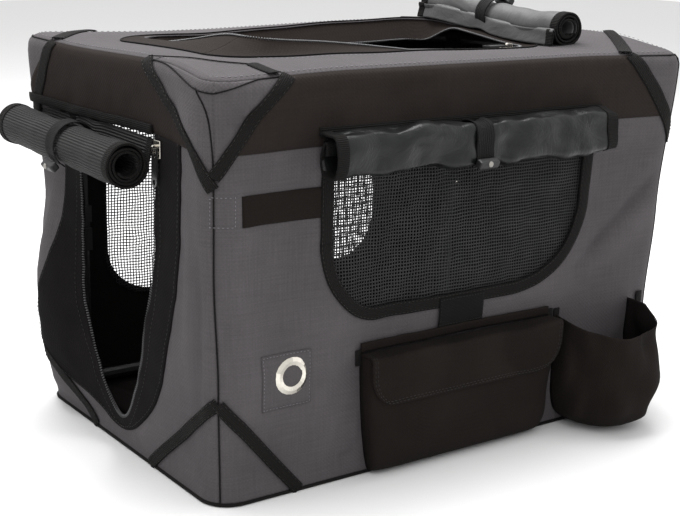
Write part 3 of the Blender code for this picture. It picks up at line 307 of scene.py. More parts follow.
@dataclass(frozen=True)
class GrainedSolid(Finish):
    """Moulded nylon, powder coat or plated steel: a fine grain in the surface and a gloss that wanders."""

    metallic: float = 0.0
    grain: float = 900.0
    depth: float = 0.06 * MM
    wander: float = 0.10
    rubbing: float = 45.0
    tone: float = 0.12

    def dress(self, tree: Tree, shader: Node) -> None:
        """Grain from a fine noise, and rubbed places from a broad one."""
        add = partial(add_node, tree)
        coords = add("TexCoord").outputs["Object"]
        fine = add("TexNoise", inputs={0: coords, "Scale": self.grain, "Detail": 2.0})
        broad = add("TexNoise", inputs={0: coords, "Scale": self.rubbing, "Detail": 4.0, "Roughness": 0.65})
        gloss, level = (add("MapRange", inputs={0: broad.outputs[0], "From Min": 0.3, "From Max": 0.7,
                                                "To Min": base - spread, "To Max": base + spread})
                        for base, spread in ((self.roughness, self.wander), (1.0, self.tone)))
        self.pattern(tree, shader, level.outputs[0], fine.outputs[0], 0.5, self.depth)
        tree.links.new(gloss.outputs[0], shader.inputs["Roughness"])
        shader.inputs["Metallic"].default_value = self.metallic


GREY_CLOTH = WovenCloth("grey_woven_polyester", "grey_polyester", "#4A4749", 0.9)
BLACK_CLOTH = WovenCloth("black_woven_polyester", "black_polyester", "#191513", 0.94, contrast=0.08,
                         sheen=0.0)
BAND_CLOTH = WovenCloth("black_band_cloth", "black_polyester", "#241F1D", 0.92, contrast=0.08, sheen=0.0)
FACING_CLOTH = WovenCloth("black_facing_cloth", "black_polyester", "#0F0D0D", 0.95, contrast=0.08,
                          sheen=0.0)
LINING = WovenCloth("black_lining_cloth", "black_polyester", "#161312", 0.95, contrast=0.05, sheen=0.0)
FLAP_CLOTH = CoatedCloth("coated_flap_cloth", "coated_cloth", "#111212", 0.36)
# The roof door is the flaps' coated cloth, painted far lighter to stand for the top light falling on it.
ROOF_DOOR_CLOTH_PAINTED_LIGHTER = CoatedCloth("coated_roof_cloth", "coated_cloth", "#4A4A4A", 0.46, creases=18.0)
NET = GrainedSolid("knitted_net_yarn", "black_mesh", "#0A0A0B", 0.75, grain=1400.0)
ROLLED_NET = RibbedTape("rolled_net", "black_mesh", "#222121", 0.70, pitch=2.6 * MM, depth=0.7 * MM,
                        contrast=0.62)
BINDING = RibbedTape("woven_binding_tape", "black_webbing", "#0E0C0B", 0.9)
WEBBING = RibbedTape("strap_webbing", "black_webbing", "#0F0E0E", 0.8, pitch=2.2 * MM, depth=0.5 * MM)
HOOK_TAPE = RibbedTape("hook_fastener_tape", "black_webbing", "#0A0909", 0.9, pitch=1.4 * MM, contrast=0.5)
THREAD = GrainedSolid("sewing_thread", "black_webbing", "#6F6C70", 0.7)
DARK_THREAD = GrainedSolid("dark_sewing_thread", "black_webbing", "#15130F", 0.7)
ZIP_COIL = GrainedSolid("nylon_zip_coil", "black_nylon", "#3A3A3C", 0.45)
NYLON = GrainedSolid("moulded_nylon", "black_nylon", "#0E0E0F", 0.55)
PALE_NYLON = GrainedSolid("pale_nylon_button", "black_nylon", "#8B8882", 0.5)
POWDER_COAT = GrainedSolid("black_powder_coated_steel", "black_steel", "#1B1B1C", 0.34, depth=0.10 * MM,
                           wander=0.06)
NICKEL = GrainedSolid("nickel_plated_steel", "bright_steel", "#D9D4CA", 0.22, metallic=1.0, wander=0.08)


def smoothstep(t: Array) -> Array:
    """Ease from 0 to 1: 3t² - 2t³, with t held between 0 and 1."""
    t = np.clip(t, 0.0, 1.0)
    return t * t * (3 - 2 * t)


def unit(vectors: Array) -> Array:
    """Scale vectors to a length of 1."""
    return vectors / np.linalg.norm(vectors, axis=-1, keepdims=True)


def left_of(path: Array, closed: bool = False) -> Array:
    """Give the unit normals to the left of a flat path's way, (n, 2); a closed one runs on to its start."""
    slope = unit(np.roll(path, -1, 0) - np.roll(path, 1, 0) if closed else np.gradient(path, axis=0))
    return np.stack([-slope[:, 1], slope[:, 0]], 1)


def running(path: Array) -> Array:
    """Give each point's distance along its path."""
    return np.concatenate([[0.0], np.cumsum(np.linalg.norm(np.diff(path, axis=0), axis=1))])


def chart(across: Array, down: Array) -> Array:
    """Make a grid of cloth coordinates, with one run across its columns and one down its rows."""
    return np.stack(np.meshgrid(across, down), -1)


def closing(ring: Array) -> Array:
    """Add a ring's first point at its end."""
    return np.concatenate([ring, ring[:1]])


def through(points: Array, count: int) -> Array:
    """Draw a smooth curve through points.

    Each stretch is a cubic whose slope at a point is half the step between that point's neighbours.

    Args:
        points: the points it passes, (n, d).
        count: how many points to give back.

    Returns:
        Points on the curve, (count, d), evenly spaced in the count of stretches.
    """
    points = np.asarray(points, float)
    last = len(points) - 1
    place = np.linspace(0, last, count)
    first = np.minimum(place.astype(int), last - 1)
    t = (place - first)[:, None]
    before, start, end, after = (points[np.clip(first + k, 0, last)] for k in (-1, 0, 1, 2))
    slope_in, slope_out = (end - before) / 2, (after - start) / 2
    return ((2 * t**3 - 3 * t**2 + 1) * start + (t**3 - 2 * t**2 + t) * slope_in
            + (3 * t**2 - 2 * t**3) * end + (t**3 - t**2) * slope_out)


def evenly(path: Array, count: int) -> Array:
    """Share points evenly along a path by its length.

    Args:
        path: the path's points, (n, d).
        count: how many points to give back.

    Returns:
        Points at equal steps of length, (count, d).
    """
    run = running(path)
    place = np.linspace(0, run[-1], count)
    return np.stack([np.interp(place, run, path[:, k]) for k in range(path.shape[1])], axis=1)


def length_of(path: Array) -> float:
    """Give a path's length."""
    return float(np.linalg.norm(np.diff(path, axis=0), axis=1).sum())


def ripples(x: Array, y: Array, seed: int, shortest: float, longest: float, waves: int = 14) -> Array:
    """Add up plane waves in many directions, as a loose cloth ripples.

    The height is the sum over waves of (wavelength/longest) * sin(2 pi (x cos a + y sin a)/wavelength + p),
    scaled to lie within about -1 and 1. Directions a, phases p and wavelengths come from a seeded generator.

    Args:
        x: coordinate along the cloth in metres.
        y: coordinate up the cloth in metres.
        seed: chooses the pattern.
        shortest: shortest wavelength in metres.
        longest: longest wavelength in metres.
        waves: how many waves are added.

    Returns:
        Heights of the shape of x.
    """
    draw = np.random.default_rng(seed)
    wavelength = np.exp(draw.uniform(math.log(shortest), math.log(longest), waves))
    angle = draw.uniform(0, math.pi, waves)
    phase = draw.uniform(0, 2 * math.pi, waves)
    turns = (x[..., None] * np.cos(angle) + y[..., None] * np.sin(angle)) / wavelength
    heights = (wavelength / longest) * np.sin(2 * math.pi * turns + phase)
    return heights.sum(-1) / (0.55 * math.sqrt(waves))


def crease(x: Array, y: Array, start: Pair, end: Pair, width: float) -> Array:
    """Give one soft crease as a ridge along a line.

    The height is exp(-(distance from the line / width)²), and it fades out past the line's ends in the same
    way, so it is 1 on the line.

    Args:
        x: coordinate along the cloth.
        y: coordinate up the cloth.
        start: where the crease starts.
        end: where it ends.
        width: its half width.

    Returns:
        Heights of the shape of x.
    """
    from_start = np.stack([x - start[0], y - start[1]], -1)
    line = np.array([end[0] - start[0], end[1] - start[1]])
    share = np.clip(from_start @ line / (line @ line), 0, 1)
    gap = np.linalg.norm(from_start - share[..., None] * line, axis=-1)
    return np.exp(-(gap / width) ** 2) * np.sin(math.pi * np.clip(share, 0.02, 0.98)) ** 0.5


PLAIN_STEP = 4 * MM  # cloth coordinates from point to point where a piece is given none


def as_piece(name: str, mesh: bpy.types.Mesh, finish: Finish) -> Piece:
    """Put a finished mesh in the scene, smooth and in its finish.

    Args:
        name: the piece's name.
        mesh: its mesh.
        finish: what it is made of.

    Returns:
        The new object, with no parent.
    """
    mesh.polygons.foreach_set("use_smooth", np.full(len(mesh.polygons), True))
    mesh.materials.append(finish.material())
    piece = bpy.data.objects.new(name, mesh)
    bpy.context.scene.collection.objects.link(piece)
    return piece


def surface(name: str, points: Array, finish: Finish, *, uv: Array | None = None, closed: bool = False,
            outward: Array | Triple | None = None, wall: float = 0.0, inside: Finish | None = None,
            ridge: Array | None = None, keep: Array | None = None, capped: bool = False) -> Piece:
    """Make a mesh of a grid of points.

    The face between rows i and i + 1 and columns j and j + 1 is a quad. All faces are turned round together
    where they would point away from outward, or inwards on a closed form.

    Args:
        name: the object's name.
        points: rows x columns x 3.
        finish: what it is made of.
        uv: rows x columns x 2 cloth coordinates in metres; on a closed grid there is one column more.
        closed: whether the last column joins the first.
        outward: a direction that the faces point along on the whole; None for a form that closes on itself.
        wall: thickness that is added on the inside.
        inside: finish of that inner side, where it is another one.
        ridge: rows x columns fold heights for the colour: lighter on worn ridges, painted shade in the hollows.
        keep: which quads are made; all of them without it.
        capped: whether the first and last rows are closed by one face each.

    Returns:
        The new object, in place, with no parent.
    """
    rows, columns = points.shape[:2]
    across = columns if closed else columns - 1
    i, j = np.meshgrid(np.arange(rows - 1), np.arange(across), indexing="ij")
    corners = [(i, j), (i, j + 1), (i + 1, j + 1), (i + 1, j)]
    faces = np.stack([r * columns + c % columns for r, c in corners], -1).reshape(-1, 4)
    charts = np.stack([r * (across + 1) + c for r, c in corners], -1).reshape(-1, 4)
    if keep is not None:
        faces, charts = faces[keep.ravel()], charts[keep.ravel()]
    flat = points.reshape(-1, 3)
    a, b, c, d = (flat[faces[:, k]] for k in range(4))
    area = np.cross(c - a, d - b)
    if outward is None:
        turned = float(((a + b + c + d) / 4 - flat.mean(0)).ravel() @ area.ravel()) < 0
    else:
        turned = float((area @ np.array(outward, float)).sum()) < 0
    if turned:
        faces, charts = faces[:, ::-1], charts[:, ::-1]
    faces_list = faces.tolist()
    if capped:
        low, high = list(range(columns)), list(range((rows - 1) * columns, rows * columns))
        faces_list += [low, high[::-1]] if turned else [low[::-1], high]
    mesh = bpy.data.meshes.new(name)
    mesh.from_pydata(flat.tolist(), [], faces_list)
    layer = mesh.uv_layers.new(name="Cloth")
    if uv is None:
        uv = np.indices((rows, across + 1)).transpose(1, 2, 0)[..., ::-1] * PLAIN_STEP
    picked = uv.reshape(-1, 2)[charts.ravel()]
    if capped:
        picked = np.concatenate([picked, np.zeros((2 * columns, 2))])
    layer.data.foreach_set("uv", picked.astype(np.float32).ravel())
    if ridge is not None:
        attribute = mesh.attributes.new("ridge", "FLOAT", "POINT")
        attribute.data.foreach_set("value", ridge.astype(np.float32).ravel())
    piece = as_piece(name, mesh, finish)
    if wall:
        solid = piece.modifiers.new("Wall", "SOLIDIFY")
        solid.thickness = wall
        solid.offset = -1.0
        if inside is not None:
            mesh.materials.append(inside.material())
            solid.material_offset = 1
            solid.material_offset_rim = 0
    return piece


def tube(name: str, path: Array, radius: float, finish: Finish, *, closed: bool = False,
         sides: int = 6) -> Piece:
    """Carry a round section along a path.

    A point is path(t) + radius (cos b * side + sin b * lift), where side is square to the path and to a
    slanting direction that no path here takes, and lift is square to both.

    Args:
        name: the object's name.
        path: the path's points, (n, 3).
        radius: the section's radius.
        finish: what it is made of.
        closed: whether the path runs round to its start.
        sides: how many sides the section has.

    Returns:
        The tube, closed at its ends.
    """
    along = unit(np.roll(path, -1, 0) - np.roll(path, 1, 0) if closed else np.gradient(path, axis=0))
    side = unit(np.cross(along, np.array([0.31, 0.17, 0.93])))
    lift = np.cross(side, along)
    angle = np.linspace(0, 2 * math.pi, sides, endpoint=False)[None, :, None]
    points = path[:, None] + radius * (np.cos(angle) * side[:, None] + np.sin(angle) * lift[:, None])
    if closed:
        path, points = closing(path), closing(points)
    uv = chart(np.linspace(0, 2 * math.pi, sides + 1) * radius, running(path))
    piece = surface(name, points, finish, uv=uv, closed=True, capped=not closed)
    if closed:
        weld(piece)
    return piece


def weld(piece: Piece, gap: float = 1e-6) -> None:
    """Join the points of a piece that lie on each other."""
    piece.modifiers.new("Weld", "WELD").merge_threshold = gap


def studs(name: str, places: Array, along: Array, up: Array, size: Triple, finish: Finish,
          blunt: float = 0.6) -> Piece:
    """Set many small pointed beads, such as stitches or zip teeth, along a seam.

    Each is a square bar with a pyramid at each end: its points are place ± size0/2 along, ± size1/2 aside
    and ± size2/2 up, where aside is square to both directions.

    Args:
        name: the object's name.
        places: middles, (n, 3).
        along: directions along each bead, (n, 3).
        up: a direction out of the cloth for each, (n, 3), or one for all.
        size: length, width and height.
        finish: what they are made of.
        blunt: share of the length that the bar takes.

    Returns:
        One object that holds them all.
    """
    along = unit(along)
    side = unit(np.cross(up, along))
    rise = np.cross(along, side)
    shape = np.array([[-1, 0, 0], [-blunt, -1, 0], [-blunt, 0, 1], [-blunt, 1, 0], [blunt, -1, 0],
                      [blunt, 0, 1], [blunt, 1, 0], [1, 0, 0], [-blunt, 0, -1], [blunt, 0, -1]]) / 2
    shape = shape * np.array(size)
    points = (places[:, None] + shape[None, :, :1] * along[:, None] + shape[None, :, 1:2] * side[:, None]
              + shape[None, :, 2:] * rise[:, None])
    quads = np.array([[1, 4, 5, 2], [2, 5, 6, 3], [3, 6, 9, 8], [8, 9, 4, 1]])
    ends = np.array([[0, 1, 2], [0, 2, 3], [0, 3, 8], [0, 8, 1], [7, 5, 4], [7, 6, 5], [7, 9, 6], [7, 4, 9]])
    shift = (np.arange(len(places)) * len(shape))[:, None, None]
    faces = (quads + shift).reshape(-1, 4).tolist() + (ends + shift).reshape(-1, 3).tolist()
    mesh = bpy.data.meshes.new(name)
    mesh.from_pydata(points.reshape(-1, 3).tolist(), [], faces)
    mesh.uv_layers.new(name="Cloth")
    return as_piece(name, mesh, finish)


def loop_round(box: Box, radii: tuple[Pair, ...] | float, sides: tuple[int, int] = (60, 40),
               bend: int = 16) -> Array:
    """Draw a rectangle with elliptic corners, so that two such loops match point by point.

    It runs anticlockwise from the start of the lower left corner. Each corner is a quarter ellipse with
    radii (rx, ry), and each side between them is straight.

    Args:
        box: left, right, bottom and top.
        radii: radii of the lower left, lower right, upper right and upper left corners, or one for all.
        sides: how many points the level and the upright sides have.
        bend: how many points a corner has.

    Returns:
        The loop's points, (n, 2), with no point twice.
    """
    left, right, bottom, top = box
    if isinstance(radii, float):
        radii = ((radii, radii),) * 4
    middles = [(left, bottom, 1, 1, 180), (right, bottom, -1, 1, 270), (right, top, -1, -1, 0),
               (left, top, 1, -1, 90)]
    arcs = []
    for (x, y, in_x, in_y, start), (rx, ry) in zip(middles, radii):
        angle = np.radians(np.linspace(start, start + 90, bend))
        arcs.append(np.stack([x + in_x * rx + rx * np.cos(angle), y + in_y * ry + ry * np.sin(angle)], 1))
    runs = []
    for k, arc in enumerate(arcs):
        following = arcs[(k + 1) % 4]
        share = np.linspace(0, 1, sides[k % 2] + 1)[1:-1, None]
        runs += [arc, arc[-1] + share * (following[0] - arc[-1])]
    return np.concatenate(runs)


class Side(Enum):
    """The cover's upright faces: the direction along each, the way it faces, and its two half sizes."""

    RIGHT = ((1.0, 0.0, 0.0), (0.0, -1.0, 0.0), 0.250, 0.170)
    LEFT = ((1.0, 0.0, 0.0), (0.0, 1.0, 0.0), 0.250, 0.170)
    FRONT = ((0.0, 1.0, 0.0), (-1.0, 0.0, 0.0), 0.170, 0.250)
    REAR = ((0.0, 1.0, 0.0), (1.0, 0.0, 0.0), 0.170, 0.250)

    @property
    def label(self) -> str:
        """The face's name as the pieces on it have it."""
        return self.name.lower()

    @property
    def along(self) -> Array:
        """Direction along the face."""
        return np.array(self.value[0])

    @property
    def out(self) -> Array:
        """Direction that the face looks in."""
        return np.array(self.value[1])

    @property
    def half(self) -> float:
        """Half the face's length."""
        return self.value[2]

    @property
    def reach(self) -> float:
        """Distance of the face from the middle of the carrier."""
        return self.value[3]


# How far the cloth has swelled or slumped, in millimetres, at knots of a coarse grid over the carrier:
# the knots' numbers along X, Y and Z, and the move there. Every other knot stays where it is.
SWELLS: tuple[tuple[int, int, int, float, float, float], ...] = (
    (0, 0, 1, -1, 1, 0), (0, 0, 2, -3, 5, 0), (0, 0, 3, -4, 3, -4), (0, 1, 3, -1, 2, 4),
    (0, 3, 1, -3, 5, 0), (0, 3, 2, -3, 9, 0), (0, 3, 3, -13, 19, 5), (0, 2, 3, -6, 0, 2),
    (1, 2, 3, 0, 0, 5), (2, 2, 3, 0, 0, 14), (1, 3, 3, 0, 2, 3), (2, 3, 3, 0, 2, 8), (1, 1, 3, 0, 0, 4),
    (3, 0, 0, 8, 0, 0), (3, 0, 1, 15, 0, 0), (3, 0, 2, 23, 0, 0), (3, 0, 3, 36, -4, -3),
    (3, 1, 0, 6, 0, 0), (3, 1, 1, 14, 0, 0), (3, 1, 2, 20, 0, 0), (3, 1, 3, 23, 0, 10),
    (3, 2, 0, 5, 0, 0), (3, 2, 1, 12, 0, 0), (3, 2, 2, 17, 0, 0), (3, 2, 3, 18, 0, 12),
    (3, 3, 0, 5, 0, 0), (3, 3, 1, 9, 4, 0), (3, 3, 2, 13, 9, 0), (3, 3, 3, 16, 12, 8),
)

# Creases of the upright faces: the face's name, start and end in cloth coordinates, half width, and height
# in millimetres.
CREASES: tuple[tuple[str, Pair, Pair, float, float], ...] = (
    ("FRONT", (-0.150, 0.210), (-0.140, 0.075), 0.009, -3.2),
    ("FRONT", (-0.128, 0.230), (-0.122, 0.120), 0.008, 1.8),
    ("FRONT", (-0.160, 0.300), (-0.110, 0.345), 0.010, 2.0),
    ("FRONT", (0.120, 0.235), (0.150, 0.060), 0.012, 3.0),
    ("RIGHT", (-0.255, 0.322), (-0.205, 0.330), 0.007, -3.4),
    ("RIGHT", (-0.245, 0.300), (-0.212, 0.215), 0.010, 2.2),
    ("RIGHT", (-0.225, 0.205), (-0.205, 0.060), 0.012, 1.6),
    ("RIGHT", (-0.150, 0.120), (-0.115, 0.170), 0.010, 1.8),
    ("RIGHT", (0.150, 0.152), (0.262, 0.262), 0.007, -5.0),
    ("RIGHT", (0.060, 0.130), (0.130, 0.150), 0.009, 1.8),
    ("RIGHT", (0.172, 0.152), (0.262, 0.236), 0.011, 4.2),
    ("RIGHT", (-0.130, 0.010), (-0.112, 0.030), 0.006, -3.0),
    ("RIGHT", (-0.020, 0.350), (0.170, 0.335), 0.012, 1.8),
    ("LEFT", (-0.190, 0.260), (-0.160, 0.060), 0.012, 2.4),
    ("LEFT", (0.090, 0.120), (0.180, 0.060), 0.012, -2.2),
    ("LEFT", (0.195, 0.280), (0.210, 0.080), 0.012, 2.2),
    ("REAR", (-0.120, 0.270), (0.040, 0.090), 0.018, 3.0),
    ("REAR", (0.110, 0.300), (0.020, 0.170), 0.014, -3.0),
    ("REAR", (-0.060, 0.060), (0.100, 0.040), 0.014, 2.4),
)


@dataclass
class Cover:
    """The sewn cover as a shape, which turns cloth coordinates into places, with its swells and folds."""

    height: float = 0.360
    corner: float = 0.026
    brow: float = 0.013
    seam_share: float = 0.55
    ripple: float = 1.5 * MM
    wrinkle: float = 0.35 * MM
    roof_ripple: float = 0.8 * MM
    # Fold height that gives one full step of the folds' colour: lighter on worn ridges, painted shade in the
    # hollows.
    ridge: float = 3 * MM
    end_fade: float = 0.022
    edge_fade: float = 0.030
    bulge_height: float = 26 * MM
    bulge_spot: Pair = (0.122, 0.108)
    knots: tuple[tuple[float, ...], ...] = (
        (-0.250, -0.120, 0.140, 0.250), (-0.170, -0.080, 0.090, 0.170), (0.0, 0.100, 0.200, 0.360),
    )

    @property
    def top_seam(self) -> float:
        """Cloth height of the seam that runs round the roof's edge."""
        return self.height - self.brow + self.brow * self.seam_share * math.pi / 2

    def end_seam(self, side: Side) -> float:
        """Distance along a face of the seam at its corner."""
        return side.half - self.corner + self.corner * math.pi / 4

    def settle(self, points: Array) -> Array:
        """Move points as the cloth there has swelled or slumped.

        The move is the blend of the moves at the eight knots round the point, with weights that ease from
        knot to knot; past the outer knots it stays what it is on them.

        Args:
            points: places, (..., 3).

        Returns:
            Moved places of the same shape.
        """
        table = np.zeros(tuple(len(k) for k in self.knots) + (3,))
        for i, j, k, *move in SWELLS:
            table[i, j, k] = np.array(move) * MM
        weights = []
        for axis, knots in enumerate(self.knots):
            place = np.interp(points[..., axis], knots, np.arange(len(knots)))
            step = np.floor(place)
            eased = step + smoothstep(place - step)
            weights.append(np.clip(1 - np.abs(eased[..., None] - np.arange(len(knots))), 0, 1))
        return points + np.einsum("...a,...b,...c,abcd->...d", *weights, table)

    def folds(self, side: Side, a: Array, v: Array) -> Array:
        """Give the height of the ripples and creases at cloth coordinates.

        It is the sum of slow ripples, of small ones and of the face's own creases, faded to nothing towards
        the corner seams, the roof's seam and the foot.

        Args:
            side: the face.
            a: distances along it.
            v: distances up it.

        Returns:
            Heights in metres.
        """
        seed = list(Side).index(side) + 3
        height = self.ripple * ripples(a, v, seed, 0.07, 0.26)
        height = height + self.wrinkle * ripples(a, v, seed + 20, 0.018, 0.05, 24)
        for face, start, end, width, rise in CREASES:
            if face == side.name:
                height = height + rise * MM * crease(a, v, start, end, width)
        ends = smoothstep((self.end_seam(side) - np.abs(a)) / self.end_fade)
        top = smoothstep((self.top_seam - v) / self.edge_fade)
        return height * ends * top * smoothstep(v / self.edge_fade)

    def bulge(self, a: Array, v: Array) -> Array:
        """How far the front face stands out beside the doorway's far lower edge.

        It is the bulge's height * exp(-((a - middle)/w)² - ((v - middle)/0.09)²), where w is 0.05 towards the
        doorway and 0.026 towards the corner, faded to nothing at the seam and the foot.
        """
        middle_a, middle_v = self.bulge_spot
        width = np.where(a < middle_a, 0.050, 0.026)
        hold = smoothstep((self.end_seam(Side.FRONT) - a) / 0.020) * smoothstep(v / self.edge_fade)
        gap = ((a - middle_a) / width) ** 2 + ((v - middle_v) / 0.090) ** 2
        return self.bulge_height * hold * np.exp(-gap)

    def at(self, side: Side, a: Array, v: Array, lift: float | Array = 0.0) -> Array:
        """Give the place of cloth coordinates.

        A face is flat, turns round the corner on a quarter circle, and at its top turns over the brow on
        another; the lift is added along the outward normal of that shape, folds included.

        Args:
            side: the face.
            a: distances along it.
            v: distances up it.
            lift: height above the cloth.

        Returns:
            Places, (..., 3).
        """
        a, v = np.broadcast_arrays(np.asarray(a, float), np.asarray(v, float))
        lift = lift + self.folds(side, a, v) + (self.bulge(a, v) if side is Side.FRONT else 0.0)
        straight = side.half - self.corner
        turn = np.maximum(np.abs(a) - straight, 0) / self.corner
        shoulder = self.height - self.brow
        over = np.maximum(v - shoulder, 0)
        roll = np.minimum(over / self.brow, math.pi / 2)
        inward = self.brow * (1 - np.cos(roll)) + np.maximum(over - self.brow * math.pi / 2, 0)
        radius = self.corner - inward + lift * np.cos(roll)
        along = np.sign(a) * (np.minimum(np.abs(a), straight) + radius * np.sin(turn))
        out = side.reach - self.corner + radius * np.cos(turn)
        z = np.minimum(v, shoulder) + (self.brow + lift) * np.sin(roll)
        return self.settle(along[..., None] * side.along + out[..., None] * side.out + z[..., None] * UP)

    def normals(self, side: Side, a: Array, v: Array) -> Array:
        """Give the outward normals at cloth coordinates, from the step that a lift of 1 mm makes."""
        return unit(self.at(side, a, v, MM) - self.at(side, a, v))

    def ribbon(self, name: str, side: Side, path: Array, edges: Pair, finish: Finish, *, lift: float,
               wall: float, across: int = 5, closed: bool = False, hump: float = 0.35 * MM) -> Piece:
        """Sew a strip along a path on a face.

        A point is path(t) + w * (the path's normal in the cloth), with w from edge to edge; the strip is
        highest in its middle, by hump * 4s(1 - s).

        Args:
            name: the piece's name.
            side: the face.
            path: points in cloth coordinates, (n, 2).
            edges: offsets of the strip's two edges from the path, to the left of its way.
            finish: what it is made of.
            lift: height of its outer face above the cloth.
            wall: its thickness.
            across: points across it.
            closed: whether the path runs round to its start.
            hump: extra height of its middle.

        Returns:
            The strip.
        """
        normal = left_of(path, closed)
        if closed:
            normal, path = closing(normal), closing(path)
        share = np.linspace(0, 1, across)
        offset = edges[0] + share * (edges[1] - edges[0])
        spots = path[:, None] + offset[None, :, None] * normal[:, None]
        height = lift + hump * 4 * share * (1 - share)
        points = self.at(side, spots[..., 0], spots[..., 1], np.broadcast_to(height, spots.shape[:2]))
        return surface(name, points, finish, uv=chart(offset, running(path)), wall=wall,
                       outward=side.out + 0.2 * UP)

    def stitches(self, name: str, side: Side, path: Array, finish: Finish, *, lift: float,
                 pitch: float = 4.5 * MM, width: float = 0.55 * MM, share: float = 0.62) -> Piece:
        """Sew a row of stitches along a path on a face, one every pitch and a share of it long."""
        count = max(3, int(length_of(path) / pitch))
        spots = evenly(path, count)
        nearby = evenly(path, count * 8)
        along = np.gradient(self.at(side, nearby[:, 0], nearby[:, 1]), axis=0)[::8]
        places = self.at(side, spots[:, 0], spots[:, 1], lift)
        up = self.normals(side, spots[:, 0], spots[:, 1])
        return studs(name, places, along[:count], up, (pitch * share, width, width), finish)

    def roof(self, x: Array, y: Array, lift: float | Array = 0.0) -> Array:
        """Give places on the roof's level part, with its own slow ripples, at a height above the cloth."""
        wave = self.roof_ripple * ripples(x, y, 31, 0.08, 0.25)
        z = self.height + wave * smoothstep((0.165 - np.abs(y)) / 0.03) + lift
        x, y, z = np.broadcast_arrays(x, y, z)
        return self.settle(np.stack([x, y, z], -1))


def hang(piece: Piece, body: str, *nodes: str, flatten: float = 0.0) -> Piece:
    """Let a piece move with the model.

    Args:
        piece: the finished piece.
        body: the body that it rides on.
        nodes: the CAD nodes that it stands for.
        flatten: when not 0, the piece gets its own copy of its mesh; the share itself is not used.

    Returns:
        The piece.
    """
    if flatten:
        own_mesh(piece)
    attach(piece, body)
    if nodes:
        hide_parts(*nodes)
    return piece


# Shares of the walls' and the pockets' height above the floor meant for a folded frame; the script only uses
# them to give those pieces their own meshes.
WALL_KEEP = 0.33
POCKET_KEEP = 0.50


def sewn(piece: Piece, *nodes: str) -> Piece:
    """Hang a piece that is sewn on the walls on the base, as the walls are, and stand for the nodes named."""
    return hang(piece, "base", *nodes, flatten=WALL_KEEP)


